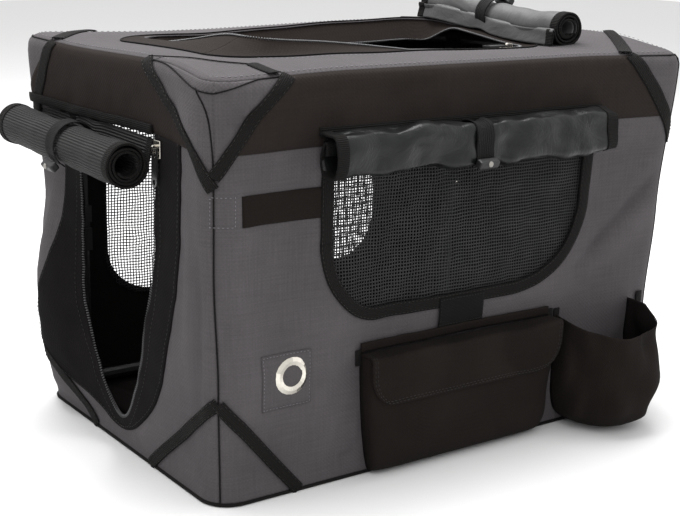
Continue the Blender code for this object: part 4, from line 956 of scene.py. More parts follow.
@dataclass
class Walls:
    """The cover's four upright faces, with the black bands, corner tapes, piping, patches and stitching."""

    cover: Cover
    band_bottom: float = 0.298
    tape: float = 11 * MM
    right_window: Box = (-0.141, 0.149, 0.150, 0.300)
    right_bends: tuple[Pair, ...] = ((0.052, 0.066), (0.088, 0.072), (0.002, 0.002), (0.002, 0.002))
    left_window: Box = (-0.180, 0.160, 0.092, 0.300)
    left_bends: tuple[Pair, ...] = ((0.048, 0.048), (0.052, 0.052), (0.002, 0.002), (0.002, 0.002))
    doorway: Box = (-0.078, 0.078, 0.028, 0.298)
    doorway_bends: tuple[Pair, ...] = ((0.0779, 0.172), (0.0779, 0.172), (0.002, 0.002), (0.002, 0.002))
    # Where the near front corner's seam leaves the corner below the roof, on the front face.
    near_seam: tuple[Pair, ...] = ((-0.1625, 0.312), (-0.1576, 0.335), (-0.1465, 0.350))
    piping: float = 0.7 * MM
    hem: float = 1.6 * MM
    # How far the roof's seam dips towards that corner, and where on the front and right faces it starts to.
    roof_seam_dip: float = 10 * MM
    dip_starts: Pair = (0.065, 0.205)

    def opening(self, side: Side) -> tuple[Box, tuple[Pair, ...]]:
        """Give the box and the corner radii of the window or doorway in a face."""
        return {Side.FRONT: (self.doorway, self.doorway_bends),
                Side.RIGHT: (self.right_window, self.right_bends),
                Side.LEFT: (self.left_window, self.left_bends)}[side]

    def corner_trim(self, side: Side) -> tuple[tuple[Pair, Pair], dict[str, tuple[Pair, ...]]]:
        """Tell where a face's band and its corner tapes run.

        Args:
            side: the face.

        Returns:
            The ends of the band's lower and upper edges, and each tape's way (a, v) by its name.
        """
        end, top = self.cover.end_seam(side), self.cover.top_seam
        if side is Side.FRONT:
            bands = (-0.138, end), (-0.0535, 0.117)
            tapes = {"near_tape": ((-0.0535, top), (-0.0891, 0.334), (-0.136, 0.305), (-end, 0.270)),
                     "far_tape": ((0.117, top), (0.141, 0.302), (0.152, 0.268))}
            foot, rise = 0.055, 0.091
        elif side is Side.REAR:
            bands = (-0.141, 0.141), (-0.080, 0.080)
            tapes = {"near_tape": ((-0.080, top), (-end, 0.272)), "far_tape": ((0.080, top), (end, 0.272))}
            foot, rise = 0.062, 0.092
        else:
            bands = (-0.232, 0.232), (-0.180, 0.190)
            tapes = {"front_tape": ((-0.179, top), (-0.212, 0.326), (-end, 0.280)),
                     "rear_tape": ((0.190, top), (end, 0.272))}
            foot, rise = 0.170, 0.090
        tapes["first_foot_tape"] = (-end, rise), (-foot, 0.002)
        tapes["last_foot_tape"] = (end, rise), (foot, 0.002)
        return bands, tapes

    def cloth(self, side: Side, rows: int = 34) -> Piece:
        """Make one face's cloth.

        Round a hole, a point is hole(u) + t (border(u) - hole(u)) in cloth coordinates, with t from 0 at the
        hole to 1 at the seams. The rear face, with no hole, is a plain grid.

        Args:
            side: the face.
            rows: rows of the grid from the hole outwards.

        Returns:
            The face, lined in black.
        """
        end, top = self.cover.end_seam(side), self.cover.top_seam
        if side is Side.REAR:
            spots = chart(np.linspace(-end, end, 72), np.linspace(0, top, 72))
        else:
            border = loop_round((-end, end, 0.0, top), 0.8 * MM)
            t = np.linspace(0, 1, rows)[:, None, None]
            hole = loop_round(*self.opening(side))
            spots = hole + t * (border - hole)
            spots = np.concatenate([spots, spots[:, :1]], 1)
        a, v = spots[..., 0], spots[..., 1]
        ridge = self.cover.folds(side, a, v) / self.cover.ridge
        piece = surface(f"{side.label}_wall_cloth", self.cover.at(side, a, v), GREY_CLOTH, uv=spots,
                        outward=side.out, wall=1.0 * MM, inside=LINING, ridge=ridge)
        weld(piece, 1e-5)
        return piece

    def band(self, side: Side, low: Pair, high: Pair) -> Piece:
        """Sew the black band on: a patch whose lower and upper edges run between the given distances."""
        u, t = np.meshgrid(np.linspace(0, 1, 90), np.linspace(0, 1, 14))
        a = (low[0] + u * (low[1] - low[0])) * (1 - t) + (high[0] + u * (high[1] - high[0])) * t
        v = self.band_bottom + t * (self.cover.top_seam - self.band_bottom)
        ridge = self.cover.folds(side, a, v) / self.cover.ridge
        return surface(f"{side.label}_band", self.cover.at(side, a, v, 0.9 * MM), BAND_CLOTH,
                       uv=np.stack([a, v], -1), outward=side.out, wall=0.8 * MM, ridge=ridge)

    def corner_tapes(self, side: Side, ways: dict[str, tuple[Pair, ...]]) -> list[Piece]:
        """Sew the slanting tapes on, each through its own points (a, v), and stitch both their edges."""
        pieces = []
        half = self.tape / 2
        for name, way in ways.items():
            path = evenly(through(np.array(way), 60), 28)
            pieces.append(self.cover.ribbon(f"{side.label}_{name}", side, path, (-half, half), BINDING,
                                            lift=1.8 * MM, wall=1.0 * MM))
            for k, offset in enumerate((-half + 1.3 * MM, half - 1.3 * MM)):
                pieces.append(self.cover.stitches(f"{side.label}_{name}_stitch_{k}", side,
                                                  path + offset * left_of(path), DARK_THREAD, lift=2.1 * MM))
        return pieces

    def build(self) -> list[Piece]:
        """Build the faces and all that is sewn on them, and hang them on the base.

        Returns:
            The pieces.
        """
        faces = [sewn(self.cloth(side), f"{side.label}_wall") for side in Side]
        pieces = []
        for side in Side:
            bands, tapes = self.corner_trim(side)
            pieces += [self.band(side, *bands), *self.corner_tapes(side, tapes)]
        pieces += [*self.corner_piping(), *self.rings(), *self.patches()]
        return faces + [sewn(piece) for piece in pieces]

    def corner_piping(self) -> list[Piece]:
        """Lay the piping in the four corner seams; the near front one bends forwards at its top."""
        pieces = []
        for side in (Side.RIGHT, Side.LEFT):
            end = self.cover.end_seam(side)
            for name, a in (("front", -end), ("rear", end)):
                face, line = side, np.linspace((a, 0.0), (a, self.cover.top_seam), 70)
                if side is Side.RIGHT and a < 0:
                    face, corner = Side.FRONT, -self.cover.end_seam(Side.FRONT)
                    way = [(corner, v) for v in (0.0, 0.14, 0.27)] + list(self.near_seam)
                    line = evenly(through(np.array(way), 200), 90)
                places = self.cover.at(face, line[:, 0], line[:, 1], 0.3 * MM)
                pieces.append(tube(f"{side.label}_{name}_corner_piping", places, self.piping, BINDING))
        return pieces

    def rings(self) -> list[Piece]:
        """Lay the piping round the roof, which dips to the near front corner, and the hem round the foot."""
        pieces = []
        starts = dict(zip((Side.FRONT, Side.RIGHT), self.dip_starts))
        for name, v, dip, radius in (
            ("roof_seam_piping", self.cover.top_seam, self.roof_seam_dip, self.piping),
            ("foot_hem", self.hem, 0.0, self.hem),
        ):
            lines = []
            for side in (Side.RIGHT, Side.REAR, Side.LEFT, Side.FRONT):
                end = self.cover.end_seam(side)
                way = 1 if side in (Side.RIGHT, Side.REAR) else -1
                a = np.linspace(-way * end, way * end, 140)[:-1]
                start = starts.get(side, 1.0)
                sunk = np.clip((-a - start) / (end - start), 0, 1)
                sunk = sunk if side is Side.RIGHT else smoothstep(sunk)
                lines.append(self.cover.at(side, a, v - dip * sunk, 0.2 * MM))
            pieces.append(tube(name, np.concatenate(lines), radius, BINDING, closed=True))
        return pieces

    def patches(self) -> list[Piece]:
        """Sew on the hook tab, the dark strip, the eyelet's square and the small stitched rectangle."""
        pieces = []
        for name, (left, right, bottom, top), finish, lift in (
            ("hook_tab", (-0.022, 0.030, 0.123, 0.150), HOOK_TAPE, 3.0 * MM),
            ("dark_strip", (-0.222, -0.143, 0.238, 0.264), BLACK_CLOTH, 1.0 * MM),
            ("eyelet_patch", (-0.207, -0.159, 0.079, 0.127), GREY_CLOTH, 0.9 * MM),
        ):
            middle, half = (bottom + top) / 2, (top - bottom) / 2
            path = np.linspace((left, middle), (right, middle), 24)
            pieces.append(self.cover.ribbon(name, Side.RIGHT, path, (-half, half), finish, lift=lift,
                                            wall=0.8 * MM, across=9, hump=0.0))
        for name, (left, right, bottom, top), finish, lift in (
            ("eyelet_patch_stitch", (-0.2055, -0.1605, 0.0805, 0.1255), THREAD, 1.1 * MM),
            ("small_stitched_patch", (-0.247, -0.228, 0.239, 0.264), THREAD, 1.1 * MM),
            ("hook_tab_stitch", (-0.0205, 0.0285, 0.1245, 0.1485), DARK_THREAD, 3.1 * MM),
        ):
            ring = closing(np.array([[left, bottom], [right, bottom], [right, top], [left, top]]))
            pieces.append(self.cover.stitches(name, Side.RIGHT, ring, finish, lift=lift, pitch=3.2 * MM,
                                              width=0.5 * MM))
        return pieces


@dataclass
class SideWindow:
    """The net behind a side window and the black binding sewn round it."""

    walls: Walls
    side: Side
    pitch: float = 3.0 * MM
    yarn: float = 1.05 * MM
    depth: float = 2.2 * MM
    hidden: float = 3 * MM
    wander: float = 0.35 * MM
    binding: float = 11.5 * MM
    overlap: float = 2.5 * MM

    def net(self) -> Piece:
        """Knit the net: a plain grid whose every cell is a square frame round a hole.

        The columns and rows of points stand at k * pitch ± yarn/2; a quad between them is kept where it is
        yarn, and dropped where it is a hole or lies outside the window.

        Returns:
            The net, a little behind the face of the cloth.
        """
        left, right, bottom, top = self.walls.opening(self.side)[0]
        lines = []
        for low, high in ((left, right), (bottom, top)):
            middles = np.arange(low - 2 * self.hidden, high + 2 * self.hidden, self.pitch)
            lines.append(np.stack([middles - self.yarn / 2, middles + self.yarn / 2], 1).ravel())
        a, v = np.meshgrid(*lines)
        wander = self.wander * ripples(a, v, 77, 0.012, 0.05)
        points = self.walls.cover.at(self.side, a + wander, v + np.roll(wander, 7, 1), -self.depth)
        i, j = np.indices((a.shape[0] - 1, a.shape[1] - 1))
        is_yarn = (i % 2 == 0) | (j % 2 == 0)
        middle_a, middle_v = (a[:-1, :-1] + a[1:, 1:]) / 2, (v[:-1, :-1] + v[1:, 1:]) / 2
        inside = self.within(middle_a, middle_v, self.hidden)
        return surface(f"{self.side.label}_net", points, NET, uv=np.stack([a, v], -1),
                       outward=self.side.out, keep=is_yarn & inside, wall=0.45 * MM)

    def within(self, a: Array, v: Array, margin: float) -> Array:
        """Tell which cloth coordinates lie in the window's outline, grown by a margin.

        In a corner a point is inside where (x/rx)² + (y/ry)² is at most 1, from the corner's centre.

        Args:
            a: distances along the face.
            v: distances up it.
            margin: how far the outline is grown.

        Returns:
            True for points inside.
        """
        (left, right, bottom, top), bends = self.walls.opening(self.side)
        left, right, bottom, top = left - margin, right + margin, bottom - margin, top + margin
        inside = (a > left) & (a < right) & (v > bottom) & (v < top)
        for (rx, ry), edge, way in zip(bends[:2], (left, right), (1, -1)):
            x = (edge + way * rx - a) * way / rx
            y = (bottom + ry - v) / ry
            inside &= ~((x > 0) & (y > 0) & (x * x + y * y > 1))
        return inside

    def build(self) -> list[Piece]:
        """Build the net, its binding and a row of stitches along each of the binding's edges.

        Returns:
            The four pieces.
        """
        name, cover = f"{self.side.label}_window", self.walls.cover
        net = sewn(self.net(), f"{name}_net")
        outline = loop_round(*self.walls.opening(self.side))
        left = left_of(outline, closed=True)
        binding = cover.ribbon(f"{name}_binding_tape", self.side, outline,
                               (self.overlap - self.binding, self.overlap), BINDING, lift=1.5 * MM,
                               wall=2.2 * MM, across=7, closed=True, hump=0.7 * MM)
        sewn(binding, f"{name}_binding")
        rows = [cover.stitches(f"{name}_stitch_{k}", self.side, closing(outline + gap * left), DARK_THREAD,
                               lift=1.9 * MM, pitch=4.0 * MM, width=0.6 * MM)
                for k, gap in enumerate((4.0 * MM - self.binding, 1.2 * MM))]
        return [net, binding, *(sewn(row) for row in rows)]


def roll_section(start: Pair, middle: Pair, radius: float, turns: float, core: float,
                 count: int = 170) -> Array:
    """Draw a rolled sheet from its side: a tail from the seam, then a spiral inwards.

    Measured out from the wall (p) and up (q), the spiral is middle + r(t) (cos b, sin b), with b from 180
    degrees at the wall side onwards and r falling evenly from radius to core.

    Args:
        start: the seam, (p, q).
        middle: the roll's centre.
        radius: its outer radius.
        turns: number of turns.
        core: inner radius where the sheet ends.
        count: points along the sheet.

    Returns:
        Points from the seam inwards, (count, 2), evenly spaced.
    """
    t = np.linspace(0, 1, 400)
    angle = math.pi + 2 * math.pi * turns * t
    r = radius + (core - radius) * t
    spiral = np.array(middle) + np.stack([r * np.cos(angle), r * np.sin(angle)], 1)
    tail = np.array(start) + np.linspace(0, 1, 12)[:-1, None] * (spiral[0] - np.array(start))
    return evenly(np.concatenate([tail, spiral]), count)


@dataclass
class HungRoll:
    """A panel rolled up and held by a strap: where it hangs, its section, and how its cloth lies.

    Its seam is origin + run*along, and its section lies out from the seam and up. The span holds its ends'
    runs. The strap squeezes it by the share pinch, tilt is its rise along the run, ripple the height of its
    waves, and sway the share of the cover's own movement that it follows.
    """

    name: str
    cover: Cover
    origin: Array
    along: Array
    out: Array
    section: Array
    span: Pair
    strap_at: float
    finish: Finish
    ripple: float = 0.8 * MM
    pinch: float = 0.10
    tilt: float = 0.0
    sway: float = 1.0
    seed: int = 5
    wall: float = 0.9 * MM
    strap_reach: float = 12 * MM
    # How far an end's binding reaches past the cloth, lies over it and is thicker than it.
    bound_past: float = 1.0 * MM
    bound_over: float = 0.7 * MM
    bound_wall: float = 1.1 * MM

    def spot(self, run: Array, p: Array | float, q: Array | float) -> Array:
        """Give places by the distance along the roll, out from the wall and up it."""
        reach, rise = (np.asarray(value)[..., None] for value in (p, q))
        return self.origin + run[..., None] * self.along + reach * self.out + rise * UP

    def place(self, section: Array, run: Array, rough: float = 1.0) -> Array:
        """Put points of a section at distances along the roll.

        A point is origin + run*along + p*out + q up. The section shrinks towards its own middle by
        pinch * exp(-((run - strap_at)/12 mm)²) at the strap, ripples by slow waves, tilts about the strap and
        moves by the share sway of what the cover does at the seam it hangs from.

        Args:
            section: (n, 2) points.
            run: (m,) distances along the roll.
            rough: share of the ripples that it takes on.

        Returns:
            Places, (m, n, 3).
        """
        centre = section.mean(0)
        squeeze = 1 - self.pinch * np.exp(-((run - self.strap_at) / self.strap_reach) ** 2)[:, None]
        run_grid, arc_grid = np.meshgrid(run, running(section), indexing="ij")
        wave = rough * self.ripple * ripples(run_grid, arc_grid, self.seed, 0.02, 0.09, 20)
        free = smoothstep(arc_grid / 0.012)
        p, q = (centre[k] + (section[:, k] - centre[k]) * squeeze + normal * wave * free
                for k, normal in enumerate(left_of(section).T))
        flat = self.spot(run_grid, p, q + self.tilt * (run_grid - self.strap_at))
        seam = self.spot(run_grid, *self.section[0])
        return flat + self.sway * (self.cover.settle(seam) - seam)

    def wrap(self, name: str, section: Array, run: Array, finish: Finish, wall: float) -> Piece:
        """Carry a section along the roll as a piece of cloth.

        Args:
            name: what the piece is called after the roll's own name.
            section: (n, 2) points.
            run: (m,) distances along the roll.
            finish: what it is made of.
            wall: its thickness.

        Returns:
            The piece, whose faces look outwards at the roll's foot.
        """
        arc = np.linspace(0, length_of(section), len(section))
        return surface(f"{self.name}_{name}", self.place(section, run), finish, uv=chart(arc, run),
                       wall=wall, outward=self.out - UP)

    def sheet(self) -> Piece:
        cloth = self.wrap("cloth", self.section, np.linspace(*self.span, 110), self.finish, self.wall)
        return cloth

    def bound_end(self, which: int, width: float = 9 * MM) -> Piece:
        """Bind one end of the panel in black: the section, a little fuller, over the last few millimetres."""
        way = 1 if which == 0 else -1
        run = self.span[which] + way * np.linspace(-self.bound_past, width, 6)
        p, q = self.section.T
        turn = np.sign((p * np.roll(q, -1) - q * np.roll(p, -1)).sum())
        fuller = self.section - turn * self.bound_over * left_of(self.section)
        return self.wrap(f"bound_end_{which}", fuller, run, BINDING, self.wall + self.bound_wall)

    def strap(self, ring: Array, width: float) -> Piece:
        """Wrap the strap: a ring round the section, carried over the strap's width."""
        run = self.strap_at + np.linspace(-width / 2, width / 2, 7)
        path = evenly(ring, 90)
        arc = np.linspace(0, length_of(path), len(path))
        uv = chart(run - self.strap_at, arc).transpose(1, 0, 2)
        return surface(f"{self.name}_strap_webbing", self.place(path, run, 0.0), WEBBING, uv=uv,
                       wall=1.0 * MM, outward=self.out - UP)


@dataclass
class FrontDoor:
    """The doorway in front: its zip facing and coil, and the net door rolled up over it."""

    walls: Walls
    # The facing's widths in millimetres, outwards and inwards from the doorway's edge, at shares of that
    # edge's length from its far top round to its near top.
    margins: tuple[Triple, ...] = (
        (0.00, 31, 6), (0.16, 27, 6), (0.21, 35, 6), (0.26, 50, 6), (0.33, 73, 6), (0.36, 76, 5),
        (0.38, 66, 4), (0.40, 40, 3), (0.44, 24, 1), (0.50, 9, -1), (0.56, 11.5, 12), (0.60, 16, 16),
        (0.64, 19.5, 18), (0.73, 20.5, 17), (0.80, 27, 13), (0.87, 36, 6), (1.00, 43, 6),
    )
    margin_blend: int = 11
    roll_radius: float = 20.0 * MM
    roll_turns: float = 3.4
    roll_core: float = 9.5 * MM
    roll_middle: Pair = (26.8 * MM, 0.2779)
    roll_seam: Pair = (1.6 * MM, 0.2985)
    span: Pair = (-0.0705, 0.151)
    bound: float = 8 * MM
    # The webbing tie: where it is, its width, its gap from the roll, its turn in degrees and its sewn end.
    strap_at: float = 0.0368
    tie_width: float = 17 * MM
    tie_gap: float = 2.2 * MM
    tie_turn: Pair = (-60, 200)
    tie_end: Pair = (3.0 * MM, 0.2975)
    hem_height: float = 0.3017
    facing_lift: float = 1.1 * MM
    frill: float = 0.9 * MM
    coil_lift: float = 1.3 * MM
    coil_pitch: float = 2.4 * MM
    bead: Triple = (4.0 * MM, 1.5 * MM, 1.8 * MM)

    def edge(self) -> Array:
        """The doorway's edge as a U, from the top on the far side down and up to the near side."""
        left, right, bottom, top = self.walls.doorway
        shoulder = bottom + self.walls.doorway_bends[0][1]
        angle = np.linspace(0, -math.pi, 70)
        bend = np.stack([right * np.cos(angle), shoulder + (shoulder - bottom) * np.sin(angle)], 1)
        legs = np.array([[right, top], [right, shoulder]]), np.array([[left, shoulder], [left, top]])
        return evenly(np.concatenate([legs[0], bend[1:-1], legs[1]]), 170)

    def edges(self) -> tuple[Array, Array]:
        """Give the facing's inner and outer edges: the doorway's, moved square to itself by the margins."""
        path = self.edge()
        normal = left_of(path)
        share, out, inwards = np.array(self.margins).T
        count = self.margin_blend
        widths = []
        for width in (-inwards, out):
            stepped = np.pad(np.interp(np.linspace(0, 1, len(path)), share, width * MM), count // 2, "edge")
            widths.append(np.convolve(stepped, np.full(count, 1 / count), "valid"))
        return tuple(path + width[:, None] * normal for width in widths)

    def facing(self) -> list[Piece]:
        """Sew the wide black facing round the doorway, with stitching along both its edges."""
        cover = self.walls.cover
        inner, outer = self.edges()
        t = np.linspace(0, 1, 16)
        spots = inner[:, None] + t[None, :, None] * (outer - inner)[:, None]
        run = np.linspace(0, length_of(self.edge()), len(inner))
        frill = self.frill * ripples(run, run * 0, 11, 0.03, 0.12)[:, None] * (1 - t)
        points = cover.at(Side.FRONT, spots[..., 0], spots[..., 1], self.facing_lift + frill)
        width = np.linalg.norm(outer - inner, axis=1)[:, None] * t
        uv = np.stack([width, np.broadcast_to(run[:, None], width.shape)], -1)
        cloth = surface("front_door_facing", points, FACING_CLOTH, uv=uv, outward=(-1, 0, 0), wall=1.6 * MM,
                        ridge=frill / MM)
        pieces = [sewn(cloth, "front_door_tape")]
        for k, (edge, inset) in enumerate(((inner, 10 * MM), (outer, -3 * MM))):
            row = cover.stitches(f"front_door_stitch_{k}", Side.FRONT, edge + inset * unit(outer - inner),
                                 DARK_THREAD, lift=2.0 * MM)
            pieces.append(sewn(row))
        return pieces

    def coil(self) -> Piece:
        """Lay the zip's coil along the facing's inner edge: one bead for each turn of the coil."""
        cover, line = self.walls.cover, self.edges()[0]
        spots = evenly(line, int(length_of(line) / self.coil_pitch))
        step = np.gradient(spots, axis=0)
        places = cover.at(Side.FRONT, spots[:, 0], spots[:, 1], self.coil_lift)
        inwards = cover.at(Side.FRONT, spots[:, 0] + step[:, 1], spots[:, 1] - step[:, 0], self.coil_lift)
        up = cover.normals(Side.FRONT, spots[:, 0], spots[:, 1])
        return sewn(studs("front_zip_coil", places, inwards - places, up, self.bead, ZIP_COIL))

    def rolled_door(self) -> list[Piece]:
        """Roll the net door up, bind its ends and tie it with webbing."""
        section = roll_section(self.roll_seam, self.roll_middle, self.roll_radius, self.roll_turns,
                               self.roll_core)
        front = Side.FRONT
        roll = HungRoll("front_door", self.walls.cover, front.out * front.reach, front.along, front.out,
                        section, self.span, self.strap_at, ROLLED_NET, ripple=0.5 * MM, pinch=0.07,
                        tilt=0.022, sway=0.35, seed=8)
        angle = np.radians(np.linspace(*self.tie_turn, 60))
        out = self.roll_radius + self.tie_gap
        ring = np.array(self.roll_middle) + out * np.stack([np.cos(angle), np.sin(angle)], 1)
        ring = np.concatenate([ring, [self.tie_end]])
        return [hang(roll.sheet(), "front_roll", "front_door_roll"),
                *(hang(roll.bound_end(k, self.bound), "front_roll") for k in (0, 1)),
                hang(roll.strap(ring, self.tie_width), "front_roll", "front_door_roll_strap")]

    def header(self) -> Piece:
        """Sew the strip that the rolled door hangs from along the foot of the black band."""
        path = np.linspace(*((end, self.hem_height) for end in self.span), 60)
        strip = self.walls.cover.ribbon("front_door_hem", Side.FRONT, path, (-4 * MM, 4 * MM), BINDING,
                                        lift=3.6 * MM, wall=1.9 * MM)
        return hang(strip, "upper_hems", "front_door_header")

    def build(self) -> list[Piece]:
        """Build the facing, the coil, the rolled door and its hem."""
        return [*self.facing(), self.coil(), *self.rolled_door(), self.header()]


@dataclass
class WindowFlap:
    """The coated flap over a side window, folded up under the band and held by a webbing loop."""

    cover: Cover
    side: Side
    span: Pair = (-0.154, 0.161)
    strap_at: float = 0.001
    strap_width: float = 19 * MM
    hem_height: float = 0.310
    # The folded flap's section and the loop's, in millimetres out from the wall and up from the floor.
    folds: tuple[Pair, ...] = (
        (2.4, 309.0), (8.0, 311.0), (17.0, 311.5), (23.5, 310.5), (26.5, 306.5), (27.2, 299.0), (26.8, 290.0),
        (26.2, 281.0), (24.5, 275.5), (19.0, 273.5), (12.0, 273.5), (7.5, 276.5), (5.8, 284.0), (6.2, 293.0),
        (8.0, 300.5), (11.5, 304.0), (15.0, 301.0), (15.5, 292.0),
    )
    loop: tuple[Pair, ...] = (
        (3.4, 312.0), (9.0, 314.5), (18.0, 314.5), (26.5, 310.5), (30.0, 300.0), (29.6, 288.0), (30.5, 274.5),
        (25.0, 270.0), (10.0, 270.5), (4.6, 276.5), (3.6, 290.0), (3.4, 303.0),
    )

    def build(self) -> list[Piece]:
        """Fold the flap, bind its ends, and put its loop and hem on.

        Returns:
            The pieces.
        """
        name, body = f"{self.side.label}_flap", f"{self.side.label}_roll"
        section = evenly(through(np.array(self.folds) * MM, 400), 120)
        roll = HungRoll(name, self.cover, self.side.out * self.side.reach, self.side.along, self.side.out,
                        section, self.span, self.strap_at, FLAP_CLOTH, ripple=2.6 * MM, pinch=0.22,
                        seed=21 if self.side is Side.RIGHT else 22, wall=0.7 * MM)
        pieces = [hang(roll.sheet(), body, f"{name}_roll")]
        pieces += [hang(roll.bound_end(k), body) for k in (0, 1)]
        strap = roll.strap(through(np.array(self.loop) * MM, 200), self.strap_width)
        pieces.append(hang(strap, body, f"{name}_roll_strap"))
        path = np.linspace(*((end, self.hem_height) for end in self.span), 80)
        hem = self.cover.ribbon(f"{name}_hem", self.side, path, (-4 * MM, 4 * MM), BINDING,
                                lift=3.2 * MM, wall=1.6 * MM)
        pieces.append(hang(hem, "upper_hems", f"{name}_header"))
        return pieces


@dataclass
class Roof:
    """The roof: its grey border and brow, the zip facing round the doorway, tapes, and the rolled door."""

    cover: Cover
    half_length: float = 0.250
    half_width: float = 0.170
    door: Box = (-0.180, 0.160, -0.100, 0.100)
    door_bend: float = 0.030
    facing_width: float = 12 * MM
    facing_rise: float = 15 * MM
    facing_hang: float = 20 * MM
    coil_pitch: float = 2.4 * MM
    bead: Triple = (4.2 * MM, 1.5 * MM, 1.8 * MM)
    stitch: Triple = (3 * MM, 0.6 * MM, 0.5 * MM)
    stitch_pitch: float = 5 * MM
    stitch_inset: float = 9 * MM
    tape: float = 10 * MM
    # The ways of the tapes across the corners, and of the near corner patch's seam.
    tapes: tuple[tuple[str, Pair, Pair], ...] = (
        ("front_right", (-0.190, -0.1655), (-0.190, -0.128)),
        ("front_left", (-0.186, 0.1655), (-0.243, 0.117)),
        ("rear_right", (0.186, -0.1655), (0.243, -0.080)),
        ("rear_left", (0.186, 0.1655), (0.243, 0.080)),
    )
    patch_seam: tuple[Pair, ...] = ((-0.189, -0.131), (-0.209, -0.109), (-0.226, -0.082), (-0.249, -0.062))
    # The rolled door: its seam on the roof, then its section out from the seam and up, made a little wider
    # than it is high, its elastic tie with its turn in degrees, and how much of its ends is bound.
    roll_origin: Triple = (0.157, 0.0, 0.3605)
    roll_start: Pair = (-1.0 * MM, 1.2 * MM)
    roll_middle: Pair = (17.5 * MM, 16.5 * MM)
    roll_radius: float = 17.0 * MM
    roll_turns: float = 3.3
    roll_core: float = 7.0 * MM
    roll_stretch: Pair = (1.1, 1.0)
    tie_middle: Pair = (19.2 * MM, 17.0 * MM)
    tie_reach: Pair = (21.0 * MM, 18.6 * MM)
    tie_turn: Pair = (-130, 215)
    tie_width: float = 15 * MM
    tie_at: float = 0.003
    span: Pair = (-0.096, 0.110)
    bound: float = 8 * MM

    def border(self) -> Piece:
        """Make the roof's cloth: rings from the seam over the brow, then level rings in to the doorway.

        A brow ring at angle b has inset brow*(1 - cos b) and height brow*sin b above the brow's foot. A
        level point is ring(u) + t (doorway(u) - ring(u)).

        Returns:
            The border, lined in black.
        """
        cover = self.cover
        rings, heights = [], []
        for angle in np.linspace(cover.seam_share * math.pi / 2, math.pi / 2, 5):
            inset = cover.brow * (1 - math.cos(angle))
            x, y = self.half_length - inset, self.half_width - inset
            rings.append(loop_round((-x, x, -y, y), float(cover.corner - inset)))
            heights.append(cover.height - cover.brow + cover.brow * math.sin(angle))
        hole = loop_round(self.door, self.door_bend)
        t = np.linspace(0, 1, 16)[1:, None, None]
        level = rings[-1] + t * (hole - rings[-1])
        edge = np.stack([np.concatenate([r, np.full((len(r), 1), h)], 1) for r, h in zip(rings, heights)])
        edge = np.concatenate([edge, edge[:, :1]], 1)
        level = np.concatenate([level, level[:, :1]], 1)
        points = np.concatenate([cover.settle(edge), cover.roof(level[..., 0], level[..., 1])])
        base = np.concatenate([edge[..., :2], level])
        # The ridge colour follows the cloth's height against the roof's level: painted light where the roof
        # swells up, painted shade where the brow falls away.
        cloth = surface("roof_cloth", points, GREY_CLOTH, uv=base, outward=(0, 0, 1), wall=1.0 * MM,
                        inside=LINING, ridge=1.2 * (points[..., 2] - cover.height) / 0.02)
        weld(cloth, 1e-5)
        return hang(cloth, "roof", "roof_panel")

    def ring(self, grown: Box, bend: float) -> Array:
        """Draw the doorway's outline with its left, right, near and far edges moved outwards, closed."""
        box = tuple(edge + way * move for edge, way, move in zip(self.door, (-1, 1, -1, 1), grown))
        return closing(loop_round(box, bend))

    def stand(self, x: Array, y: Array) -> Array:
        """Tell how far the facing's free edge stands up: most at the near front corner."""
        return self.facing_rise * np.clip(-x / 0.190, 0, 1) * smoothstep((0.045 - y) / 0.110)

    def facing(self) -> list[Piece]:
        """Sew the black zip facing round the doorway, with its coil and piping.

        Its free edge stands up near the front and hangs down into the cabin at the far side.

        Returns:
            The facing, the coil and the piping.
        """
        outer = self.ring((24 * MM, 3 * MM, 3 * MM, 3 * MM), 0.033)
        inner = self.ring((-self.facing_width,) * 4, 0.018)
        t = np.linspace(0, 1, 14)[:, None, None]
        spots = outer + t * (inner - outer)
        x, y = spots[..., 0], spots[..., 1]
        lift = self.stand(inner[:, 0], inner[:, 1])
        slack = 2 * MM * (1 - np.minimum(1, lift / (4 * MM)))
        slack = slack + self.facing_hang * smoothstep((inner[:, 1] - 0.02) / 0.06)
        slack = slack * smoothstep((x - self.door[0]) / 0.040)
        points = self.cover.roof(x, y, 0.8 * MM + lift * t[..., 0] ** 1.6 - slack * t[..., 0])
        cloth = surface("roof_door_facing", points, BAND_CLOTH, uv=spots, outward=(0, 0, 1), wall=0.8 * MM)
        teeth = evenly(points[-1], int(length_of(points[-1]) / self.coil_pitch))
        coil = studs("roof_zip_coil", teeth + 0.6 * MM * UP, np.cross(np.gradient(teeth, axis=0), UP), UP,
                     self.bead, ZIP_COIL)
        line = self.cover.roof(outer[:-1, 0], outer[:-1, 1], 0.9 * MM)
        cord = tube("roof_door_piping", line, 0.7 * MM, BINDING, closed=True)
        return [hang(cloth, "roof", "roof_zip_tape"), hang(coil, "roof"), hang(cord, "roof")]

    def strip(self, name: str, path: Array, width: float, lift: float, wall: float) -> Piece:
        """Sew a strip along a path on the roof's level part: path(t) ± half the width, a little humped."""
        share = np.linspace(-0.5, 0.5, 5)
        spots = path[:, None] + width * share[None, :, None] * left_of(path)[:, None]
        height = lift + 0.4 * MM * (1 - 4 * share**2)
        uv = chart(width * share, np.linspace(0, length_of(path), len(path)))
        return hang(surface(name, self.cover.roof(spots[..., 0], spots[..., 1], height), BINDING, uv=uv,
                            outward=(0, 0, 1), wall=wall), "roof")

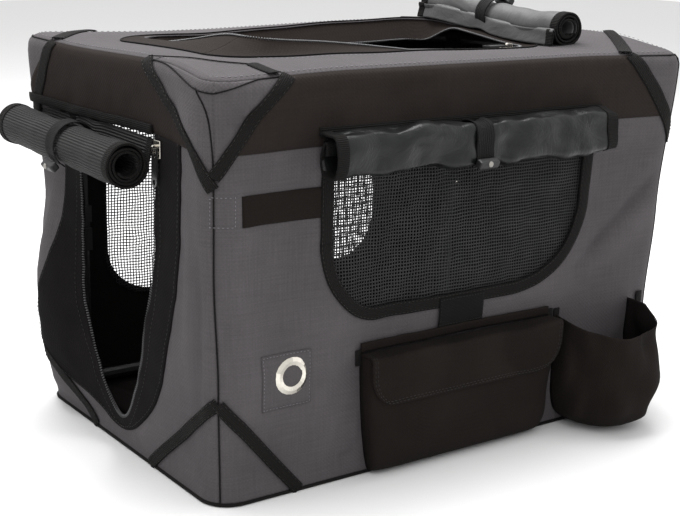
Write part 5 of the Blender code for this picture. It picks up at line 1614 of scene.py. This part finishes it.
    def trims(self) -> list[Piece]:
        """Sew the tapes that close the corner patches, a patch's seam and the stitching along the border."""
        pieces = []
        for corner, *way in self.tapes:
            pieces.append(self.strip(f"roof_{corner}_tape", np.linspace(*way, 30), self.tape, 1.2 * MM,
                                     0.9 * MM))
            if corner == "front_right":
                seam = through(np.array(self.patch_seam), 40)
                pieces.append(self.strip(f"roof_{corner}_seam", seam, 1.6 * MM, 0.9 * MM, 0.6 * MM))
        inset = self.stitch_inset
        x, y = self.half_length - inset, self.half_width - inset
        brow = closing(loop_round((-x, x, -y, y), 0.02))
        door = evenly(self.ring((inset,) * 4, self.door_bend + inset), 600)
        for name, ring in (("door", door), ("brow", brow)):
            spots = evenly(ring, int(length_of(ring) / self.stitch_pitch))
            places = self.cover.roof(spots[:, 0], spots[:, 1], 0.05 * MM)
            pieces.append(hang(studs(f"roof_{name}_stitch", places, np.gradient(places, axis=0), UP,
                                     self.stitch, THREAD), "roof"))
        return pieces

    def rolled_door(self) -> list[Piece]:
        """Roll the roof door up at the rear end, with bound ends and an elastic tie."""
        section = roll_section(self.roll_start, self.roll_middle, self.roll_radius, self.roll_turns,
                               self.roll_core) * self.roll_stretch
        # Its cloth is painted lighter than the flaps' for the top light falling on it.
        roll = HungRoll("roof_door", self.cover, np.array(self.roll_origin), -Side.REAR.along, Side.REAR.out,
                        section, self.span, self.tie_at, ROOF_DOOR_CLOTH_PAINTED_LIGHTER, ripple=0.9 * MM, pinch=0.14,
                        seed=41, wall=0.8 * MM)
        angle = np.radians(np.linspace(*self.tie_turn, 80))
        ring = np.array(self.tie_middle) + self.tie_reach * np.stack([np.cos(angle), np.sin(angle)], 1)
        return [hang(roll.sheet(), "roof_roll", "roof_door_roll"),
                *(hang(roll.bound_end(k, self.bound), "roof_roll") for k in (0, 1)),
                hang(roll.strap(ring, self.tie_width), "roof_roll", "roof_door_roll_strap")]

    def build(self) -> list[Piece]:
        """Build the roof's border, facing, trims and rolled door."""
        return [self.border(), *self.facing(), *self.trims(), *self.rolled_door()]


@dataclass
class Pockets:
    """The flap pocket and the cup pocket on the right side, with the hem and the flap between them."""

    cover: Cover
    flat: Box = (-0.108, 0.112, 0.004, 0.112)
    flat_depth: float = 20 * MM
    cup: Box = (0.122, 0.226, 0.004, 0.114)
    cup_depth: float = 73 * MM
    face: float = -0.1703
    # Share of the height, inset of the ends and share of the depth, from the mouth down to the foot.
    flat_rings: tuple[Triple, ...] = (
        (1.0, 0.0, 1.0), (0.7, 0.001, 1.05), (0.35, 0.004, 1.02), (0.10, 0.008, 0.9), (0.0, 0.011, 0.55),
        (0.0, 0.013, 0.02),
    )
    cup_rings: tuple[Triple, ...] = (
        (1.0, 0.000, 0.97), (0.72, 0.002, 1.0), (0.40, 0.001, 1.01), (0.12, 0.007, 0.90), (0.0, 0.020, 0.62),
        (0.0, 0.022, 0.03),
    )
    cup_droop: float = 13 * MM
    plan_count: int = 110
    # The flap: its length down the cloth, the run outwards, its bend's radius, its half width and middle,
    # the place of its seam and the radius of its lower corners.
    flap_run: float = 0.0625
    flap_reach: float = 15.6 * MM
    flap_bend: float = 3.2 * MM
    flap_half: float = 0.1116
    flap_middle: float = 0.002
    flap_seam: Pair = (-0.174, 0.1139)
    flap_corner: float = 0.028
    stitch: Triple = (2.6 * MM, 0.6 * MM, 0.5 * MM)
    stitch_pitch: float = 4 * MM
    # The hem's ends (x, z), the middles of the tabs at the mouths, and a tab's half width and half height.
    hem: tuple[Pair, Pair] = ((-0.108, 0.119), (0.112, 0.119))
    tabs: tuple[Pair, ...] = ((-0.110, 0.110), (0.115, 0.113), (0.124, 0.112), (0.226, 0.112))
    tab: Pair = (3.5 * MM, 7 * MM)

    def bag(self, name: str, box: Box, depth: float, square: float, rings: tuple[Triple, ...],
            droop: Array | float, ripple: float, seed: int) -> Piece:
        """Make an open-topped bag that stands out from the wall.

        Its plan is half a superellipse, x = middle + half*sign(cos b)|cos b|^(2/n) and
        out = depth*|sin b|^(2/n), whose ends and depth follow the rings from the mouth to the foot; ripples
        move it along its way out.

        Args:
            name: the piece's name.
            box: left, right, foot and mouth.
            depth: how far it stands out.
            square: the superellipse's power n.
            rings: share of the height, inset of the ends and share of the depth, from the mouth down.
            droop: how far the mouth's edge hangs down at each point of the plan.
            ripple: height of the ripples.
            seed: chooses the ripples.

        Returns:
            The bag.
        """
        left, right, foot, mouth = box
        rise, inset, share = (np.interp(np.linspace(0, 1, 44), np.linspace(0, 1, 200), column)[:, None]
                              for column in through(np.array(rings), 200).T)
        angle = np.linspace(math.pi, 2 * math.pi, self.plan_count)
        c, s = np.cos(angle), np.abs(np.sin(angle))
        plan_x = np.sign(c) * np.abs(c) ** (2 / square)
        plan_out = s ** (2 / square)
        x = (left + right) / 2 + ((right - left) / 2 - inset) * plan_x
        out = depth * share * plan_out
        z = foot + (mouth - foot) * rise - droop * smoothstep((rise - 0.5) / 0.5)
        wave = ripple * ripples(x + out, z + 0 * x, seed, 0.022, 0.09, 22)
        hold = smoothstep(plan_out / 0.35) * smoothstep(rise / 0.12)
        out = np.maximum(out + wave * hold, 0.0)
        x = x + 0.6 * wave * hold * np.sign(plan_x)
        z = np.broadcast_to(z, x.shape)
        points = np.stack([x, self.face - out, z], -1)
        along = np.linspace(0, right - left + 2 * depth, self.plan_count)
        uv = np.stack([np.broadcast_to(along, x.shape), z], -1)
        return surface(name, points, BLACK_CLOTH, uv=uv, outward=(0, -1, 0), wall=1.2 * MM, inside=LINING,
                       ridge=wave / ripple * 0.6)

    def flap(self) -> list[Piece]:
        """Make the pocket's flap: flat over the mouth, bent round its edge and hanging over the pocket.

        From the side it is a run outwards, a quarter circle and a run down. Its half width falls on the last
        stretch as a quarter circle, which rounds the lower corners.

        Returns:
            The flap and its two rows of stitches.
        """
        run = np.linspace(0, self.flap_run, 30)
        turn = np.clip((run - self.flap_reach) / self.flap_bend, 0, math.pi / 2)
        after = np.maximum(run - self.flap_reach - self.flap_bend * math.pi / 2, 0)
        out = np.minimum(run, self.flap_reach) + self.flap_bend * np.sin(turn) + 0.02 * after
        drop = self.flap_bend * (1 - np.cos(turn)) + after
        corner = self.flap_corner
        past = np.maximum(run - (run[-1] - corner), 0)
        half = self.flap_half - (corner - np.sqrt(np.maximum(corner**2 - past**2, 0)))
        x = self.flap_middle + half[:, None] * np.linspace(-1, 1, 90)
        wave = 0.9 * MM * ripples(x, run[:, None] + 0 * x, 61, 0.03, 0.12, 18)
        hold = smoothstep(run[:, None] / 0.02)
        y = self.flap_seam[0] - out[:, None] - np.abs(wave) * hold
        z = self.flap_seam[1] - drop[:, None] + 0.5 * wave * hold
        points = np.stack([x, y, z], -1)
        uv = np.stack([x, np.broadcast_to(run[:, None], x.shape)], -1)
        cloth = surface("pocket_flap_cloth", points, BLACK_CLOTH, uv=uv, outward=(0, -1, 0.3), wall=1.3 * MM,
                        ridge=wave / MM)
        pieces = [hang(cloth, "pocket_flap", "pocket_flap")]
        for k, column in enumerate((1, 2)):
            line = np.concatenate([points[4:-1 - column, column], points[-1 - column, column:-column],
                                   points[4:-1 - column, -1 - column][::-1]])
            spots = evenly(line, int(length_of(line) / self.stitch_pitch))
            row = studs(f"pocket_flap_stitch_{k}", spots + np.array([0, -0.3 * MM, 0]),
                        np.gradient(spots, axis=0), np.array([0.0, -1.0, 0.1]), self.stitch, DARK_THREAD)
            pieces.append(hang(row, "pocket_flap"))
        return pieces

    def build(self) -> list[Piece]:
        """Build both bags, the flap, its hem and the small tabs at the mouths' corners.

        Returns:
            The pieces.
        """
        share = np.clip(np.linspace(0, 1, self.plan_count) * 1.1, 0, 1)
        droop = self.cup_droop * np.sin(math.pi * share) ** 0.7
        pieces = []
        for node, *form in (
            ("flap_pocket", self.flat, self.flat_depth, 7.0, self.flat_rings, 0.0, 0.8 * MM, 51),
            ("cup_pocket", self.cup, self.cup_depth, 2.5, self.cup_rings, droop, 2.6 * MM, 57),
        ):
            pieces.append(hang(self.bag(f"{node}_cloth", *form), "base", node, flatten=POCKET_KEEP))
        pieces += self.flap()
        hem = self.cover.ribbon("pocket_flap_hem", Side.RIGHT, np.linspace(*self.hem, 60),
                                (-4.6 * MM, 4 * MM), BLACK_CLOTH, lift=3.6 * MM, wall=1.8 * MM)
        pieces.append(hang(hem, "side_hems", "pocket_hem"))
        half, rise = self.tab
        for k, (x, z) in enumerate(self.tabs):
            bar = np.linspace((x, z - rise), (x, z + rise), 10)
            pieces.append(sewn(self.cover.ribbon(f"pocket_tab_{k}", Side.RIGHT, bar, (-half, half), BINDING,
                                                 lift=2.4 * MM, wall=1.4 * MM)))
        return pieces


@dataclass
class FloorMat:
    """The thin quilted mat on the floor panel: black cloth over a soft fill, sewn in channels."""

    half_x: float = 0.222
    half_y: float = 0.142
    foot: float = 2.4 * MM
    edge: float = 1.5 * MM
    thick: float = 7.2 * MM
    skin: float = 0.6 * MM
    voxel: float = 3 * MM
    pressure: float = 4.0
    frames: int = 20
    cap: float = 2 * MM
    margin: float = 1 * MM
    channel: float = 0.055
    groove: float = 2.2 * MM
    groove_width: float = 3.5 * MM

    def build(self) -> list[Piece]:
        """Puff the mat up with a cloth simulation and press its channels in.

        The blank is a crowned slab with a round plan, z = foot + thick * (1 - |x|^8)(1 - |y|^8) on its top.
        It is remeshed, blown up a little as cloth and grooved across.

        Returns:
            The mat.
        """
        x, y = np.meshgrid(np.linspace(-1, 1, 60), np.linspace(-1, 1, 44))
        crown = (1 - np.abs(x) ** 8) * (1 - np.abs(y) ** 8)
        top = np.stack([x * self.half_x, y * self.half_y,
                        self.foot + self.edge + (self.thick - self.edge) * crown], -1)
        low = top.copy()
        low[..., 2] = self.foot
        mat = surface("floor_mat_quilt", np.concatenate([low[::-1], top]), LINING, outward=(0, 0, 1))
        self.close(mat)
        self.puff(mat)
        hang(mat, "base", "floor_mat")
        return [mat]

    def close(self, mat: Piece) -> None:
        """Give the open slab a skin and remesh it into one closed form."""
        solid = mat.modifiers.new("Solid", "SOLIDIFY")
        solid.thickness = self.skin
        solid.offset = 1.0
        remesh = mat.modifiers.new("Remesh", "REMESH")
        remesh.mode = "VOXEL"
        remesh.voxel_size = self.voxel
        apply_modifiers(mat)

    def puff(self, mat: Piece) -> None:
        """Blow the mat up as cloth, cap how far a point may move, and groove it.

        A channel presses its groove in by groove * exp(-(distance from the channel/groove_width)²).

        Args:
            mat: the closed slab.
        """
        before = coordinates(mat)
        settings = mat.modifiers.new("Cloth", "CLOTH").settings
        settings.use_pressure = True
        settings.uniform_pressure_force = self.pressure
        settings.effector_weights.gravity = 0.0
        settings.quality = 4
        for frame in range(1, self.frames + 1):
            bpy.context.scene.frame_set(frame)
        apply_modifiers(mat)
        points = before + np.clip(coordinates(mat) - before, -self.cap, self.cap)
        points[:, 0] = np.clip(points[:, 0], -self.half_x - self.margin, self.half_x + self.margin)
        points[:, 2] = np.clip(points[:, 2], self.foot, self.foot + self.thick + self.margin)
        gap = np.abs((points[:, 0] / self.channel) % 1 - 0.5) * self.channel
        hold = smoothstep((points[:, 2] - self.foot - 2 * MM) / (3 * MM))
        points[:, 2] -= self.groove * np.exp(-(gap / self.groove_width) ** 2) * hold
        mat.data.vertices.foreach_set("co", points.astype(np.float32).ravel())
        mat.data.update()
        bpy.context.scene.frame_set(1)


def coordinates(piece: Piece) -> Array:
    """Give a mesh's points as an array, (n, 3)."""
    flat = np.empty(len(piece.data.vertices) * 3, np.float32)
    piece.data.vertices.foreach_get("co", flat)
    return flat.reshape(-1, 3).astype(float)


def apply_modifiers(piece: Piece) -> None:
    """Take the evaluated mesh as the piece's own and drop its modifiers."""
    graph = bpy.context.evaluated_depsgraph_get()
    mesh = bpy.data.meshes.new_from_object(piece.evaluated_get(graph))
    piece.modifiers.clear()
    piece.data = mesh
    mesh.polygons.foreach_set("use_smooth", np.full(len(mesh.polygons), True))


@dataclass
class Fittings:
    """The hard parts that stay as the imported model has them, each given its real finish."""

    nodes: dict
    finishes: tuple[tuple[Finish, tuple[str, ...]], ...] = (
        (POWDER_COAT, ("base_frame", "roof_frame", "base_bracket", "roof_bracket", "lower_leg", "upper_leg",
                       "front_zip_pull", "roof_zip_pull")),
        (NICKEL, ("knee_pin", "front_zip_slider", "roof_zip_slider", "eyelet")),
        (NYLON, ("front_door_roll_toggle", "roof_door_roll_toggle", "right_flap_roll_toggle",
                 "left_flap_roll_toggle")),
    )
    button_radius: float = 2.6 * MM
    button_height: float = 1.2 * MM

    def build(self) -> None:
        """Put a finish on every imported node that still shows, and a button on three of the toggles."""
        for name, node in self.nodes.items():
            if node.hide_render:
                continue
            finish = next((finish for finish, names in self.finishes if name.startswith(names)), LINING)
            node.data.materials.clear()
            node.data.materials.append(finish.material())
        for tie, side in (("right_flap", Side.RIGHT), ("left_flap", Side.LEFT), ("front_door", Side.FRONT)):
            hang(self.button(tie, side.out), f"{side.label}_roll")

    def button(self, tie: str, out: Array) -> Piece:
        """Set the pale button in the outer face of a tie's toggle: a shallow dome."""
        low, high = (np.array(corner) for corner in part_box(f"{tie}_roll_toggle"))
        middle = (low + high) / 2 + out * ((high - low) / 2 - 0.2 * MM)
        side = np.cross(out, UP)
        rise, turn = (grid[..., None] for grid in np.meshgrid(
            np.linspace(0, math.pi / 2, 6)[:-1], np.linspace(0, 2 * math.pi, 20)[:-1], indexing="ij"))
        points = (middle + self.button_height * np.sin(rise) * out
                  + self.button_radius * np.cos(rise) * (np.cos(turn) * side + np.sin(turn) * UP))
        return surface(f"{tie}_toggle_button", points, PALE_NYLON, closed=True, capped=True)


@dataclass
class Studio:
    """The pale floor, the soft lights and the camera at the photograph's angle."""

    camera_spot: Triple = (-0.7565, -1.0467, 0.4782)
    camera_right: Triple = (0.8169, -0.5764, 0.0213)
    camera_up: Triple = (0.1267, 0.2154, 0.9683)
    lens: float = 70.2
    # Each lamp's name, place, power in watts and edge in metres.
    lamps: tuple[tuple[str, Triple, float, float], ...] = (
        ("key_light", (-0.9, -1.6, 1.9), 12.0, 1.6), ("fill_light", (1.9, -1.5, 1.1), 5.0, 1.8),
        ("top_light", (0.1, 0.5, 2.2), 84.0, 1.9), ("far_light", (-1.8, 0.8, 1.2), 3.0, 1.4),
    )
    lamp_aim: float = 0.18
    floor_colour: str = "#DDDDDD"
    floor_half: float = 6.0
    floor_drop: float = 0.4 * MM

    def build(self) -> None:
        """Lay the floor, hang the lights, stand the camera and fill the air with light."""
        self.floor()
        for lamp in self.lamps:
            self.lamp(*lamp)
        self.camera()
        world = bpy.data.worlds.new("studio_air")
        bpy.context.scene.world = world
        world.use_nodes = True
        background = world.node_tree.nodes["Background"]
        background.inputs["Color"].default_value = (1.0, 1.0, 1.0, 1.0)
        background.inputs["Strength"].default_value = 1.0
        bpy.context.scene.view_settings.view_transform = "Standard"

    def floor(self) -> None:
        """Lay a plain pale floor that fades into the air around it."""
        edges = np.linspace(-self.floor_half, self.floor_half, 3)
        material = bpy.data.materials.new("pale_floor")
        material.use_nodes = True
        shader = material.node_tree.nodes["Principled BSDF"]
        shader.inputs["Base Color"].default_value = linear(self.floor_colour)
        shader.inputs["Roughness"].default_value = 0.9
        shader.inputs["Specular IOR Level"].default_value = 0.1
        mesh = bpy.data.meshes.new("floor")
        level = chart(edges, edges).reshape(-1, 2)
        points = np.pad(level, ((0, 0), (0, 1)), constant_values=-self.floor_drop)
        mesh.from_pydata(points.tolist(), [], [[0, 1, 4, 3], [1, 2, 5, 4], [3, 4, 7, 6], [4, 5, 8, 7]])
        mesh.materials.append(material)
        floor = bpy.data.objects.new("floor", mesh)
        bpy.context.scene.collection.objects.link(floor)

    @staticmethod
    def stand(name: str, data: bpy.types.ID, spot: Triple, right: Array, back: Array) -> Piece:
        """Put a light or a camera up.

        Args:
            name: the object's name.
            data: the light or the camera.
            spot: where it stands.
            right: the direction to its right.
            back: the direction away from what it looks at.

        Returns:
            The object.
        """
        right, back = unit(right), unit(back)
        axes = np.stack([right, np.cross(back, right), back], 1)
        stood = bpy.data.objects.new(name, data)
        stood.matrix_world = Matrix.Translation(spot) @ Matrix(axes.tolist()).to_4x4()
        bpy.context.scene.collection.objects.link(stood)
        return stood

    def lamp(self, name: str, spot: Triple, power: float, size: float) -> None:
        """Hang a square soft light of a power and size that looks at the carrier's middle."""
        light = bpy.data.lights.new(name, "AREA")
        light.energy = power
        light.size = size
        back = np.array(spot) - self.lamp_aim * UP
        self.stand(name, light, spot, np.cross(UP, back), back)

    def camera(self) -> None:
        """Stand the camera where the photograph was taken from."""
        data = bpy.data.cameras.new("camera")
        data.lens = self.lens
        data.sensor_width = 36.0
        data.clip_start = 0.05
        right = np.array(self.camera_right)
        bpy.context.scene.camera = self.stand("camera", data, self.camera_spot, right,
                                              np.cross(right, self.camera_up))


def main() -> None:
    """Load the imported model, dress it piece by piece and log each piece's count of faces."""
    logging.basicConfig(level=logging.INFO, format="%(name)s: %(message)s")
    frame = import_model()
    Studio().build()
    cover = Cover()
    walls = Walls(cover)
    pieces = walls.build()
    for side, flap in ((Side.RIGHT, WindowFlap(cover, Side.RIGHT)),
                       (Side.LEFT, WindowFlap(cover, Side.LEFT, (-0.198, 0.178), -0.013))):
        pieces += [*SideWindow(walls, side).build(), *flap.build()]
    for part in (FrontDoor(walls), Roof(cover), Pockets(cover), FloorMat()):
        pieces += part.build()
    Fittings(frame["nodes"]).build()
    for piece in pieces:
        LOG.info("%s: %d faces", piece.name, len(piece.data.polygons))


if __name__ == "__main__":
    main()
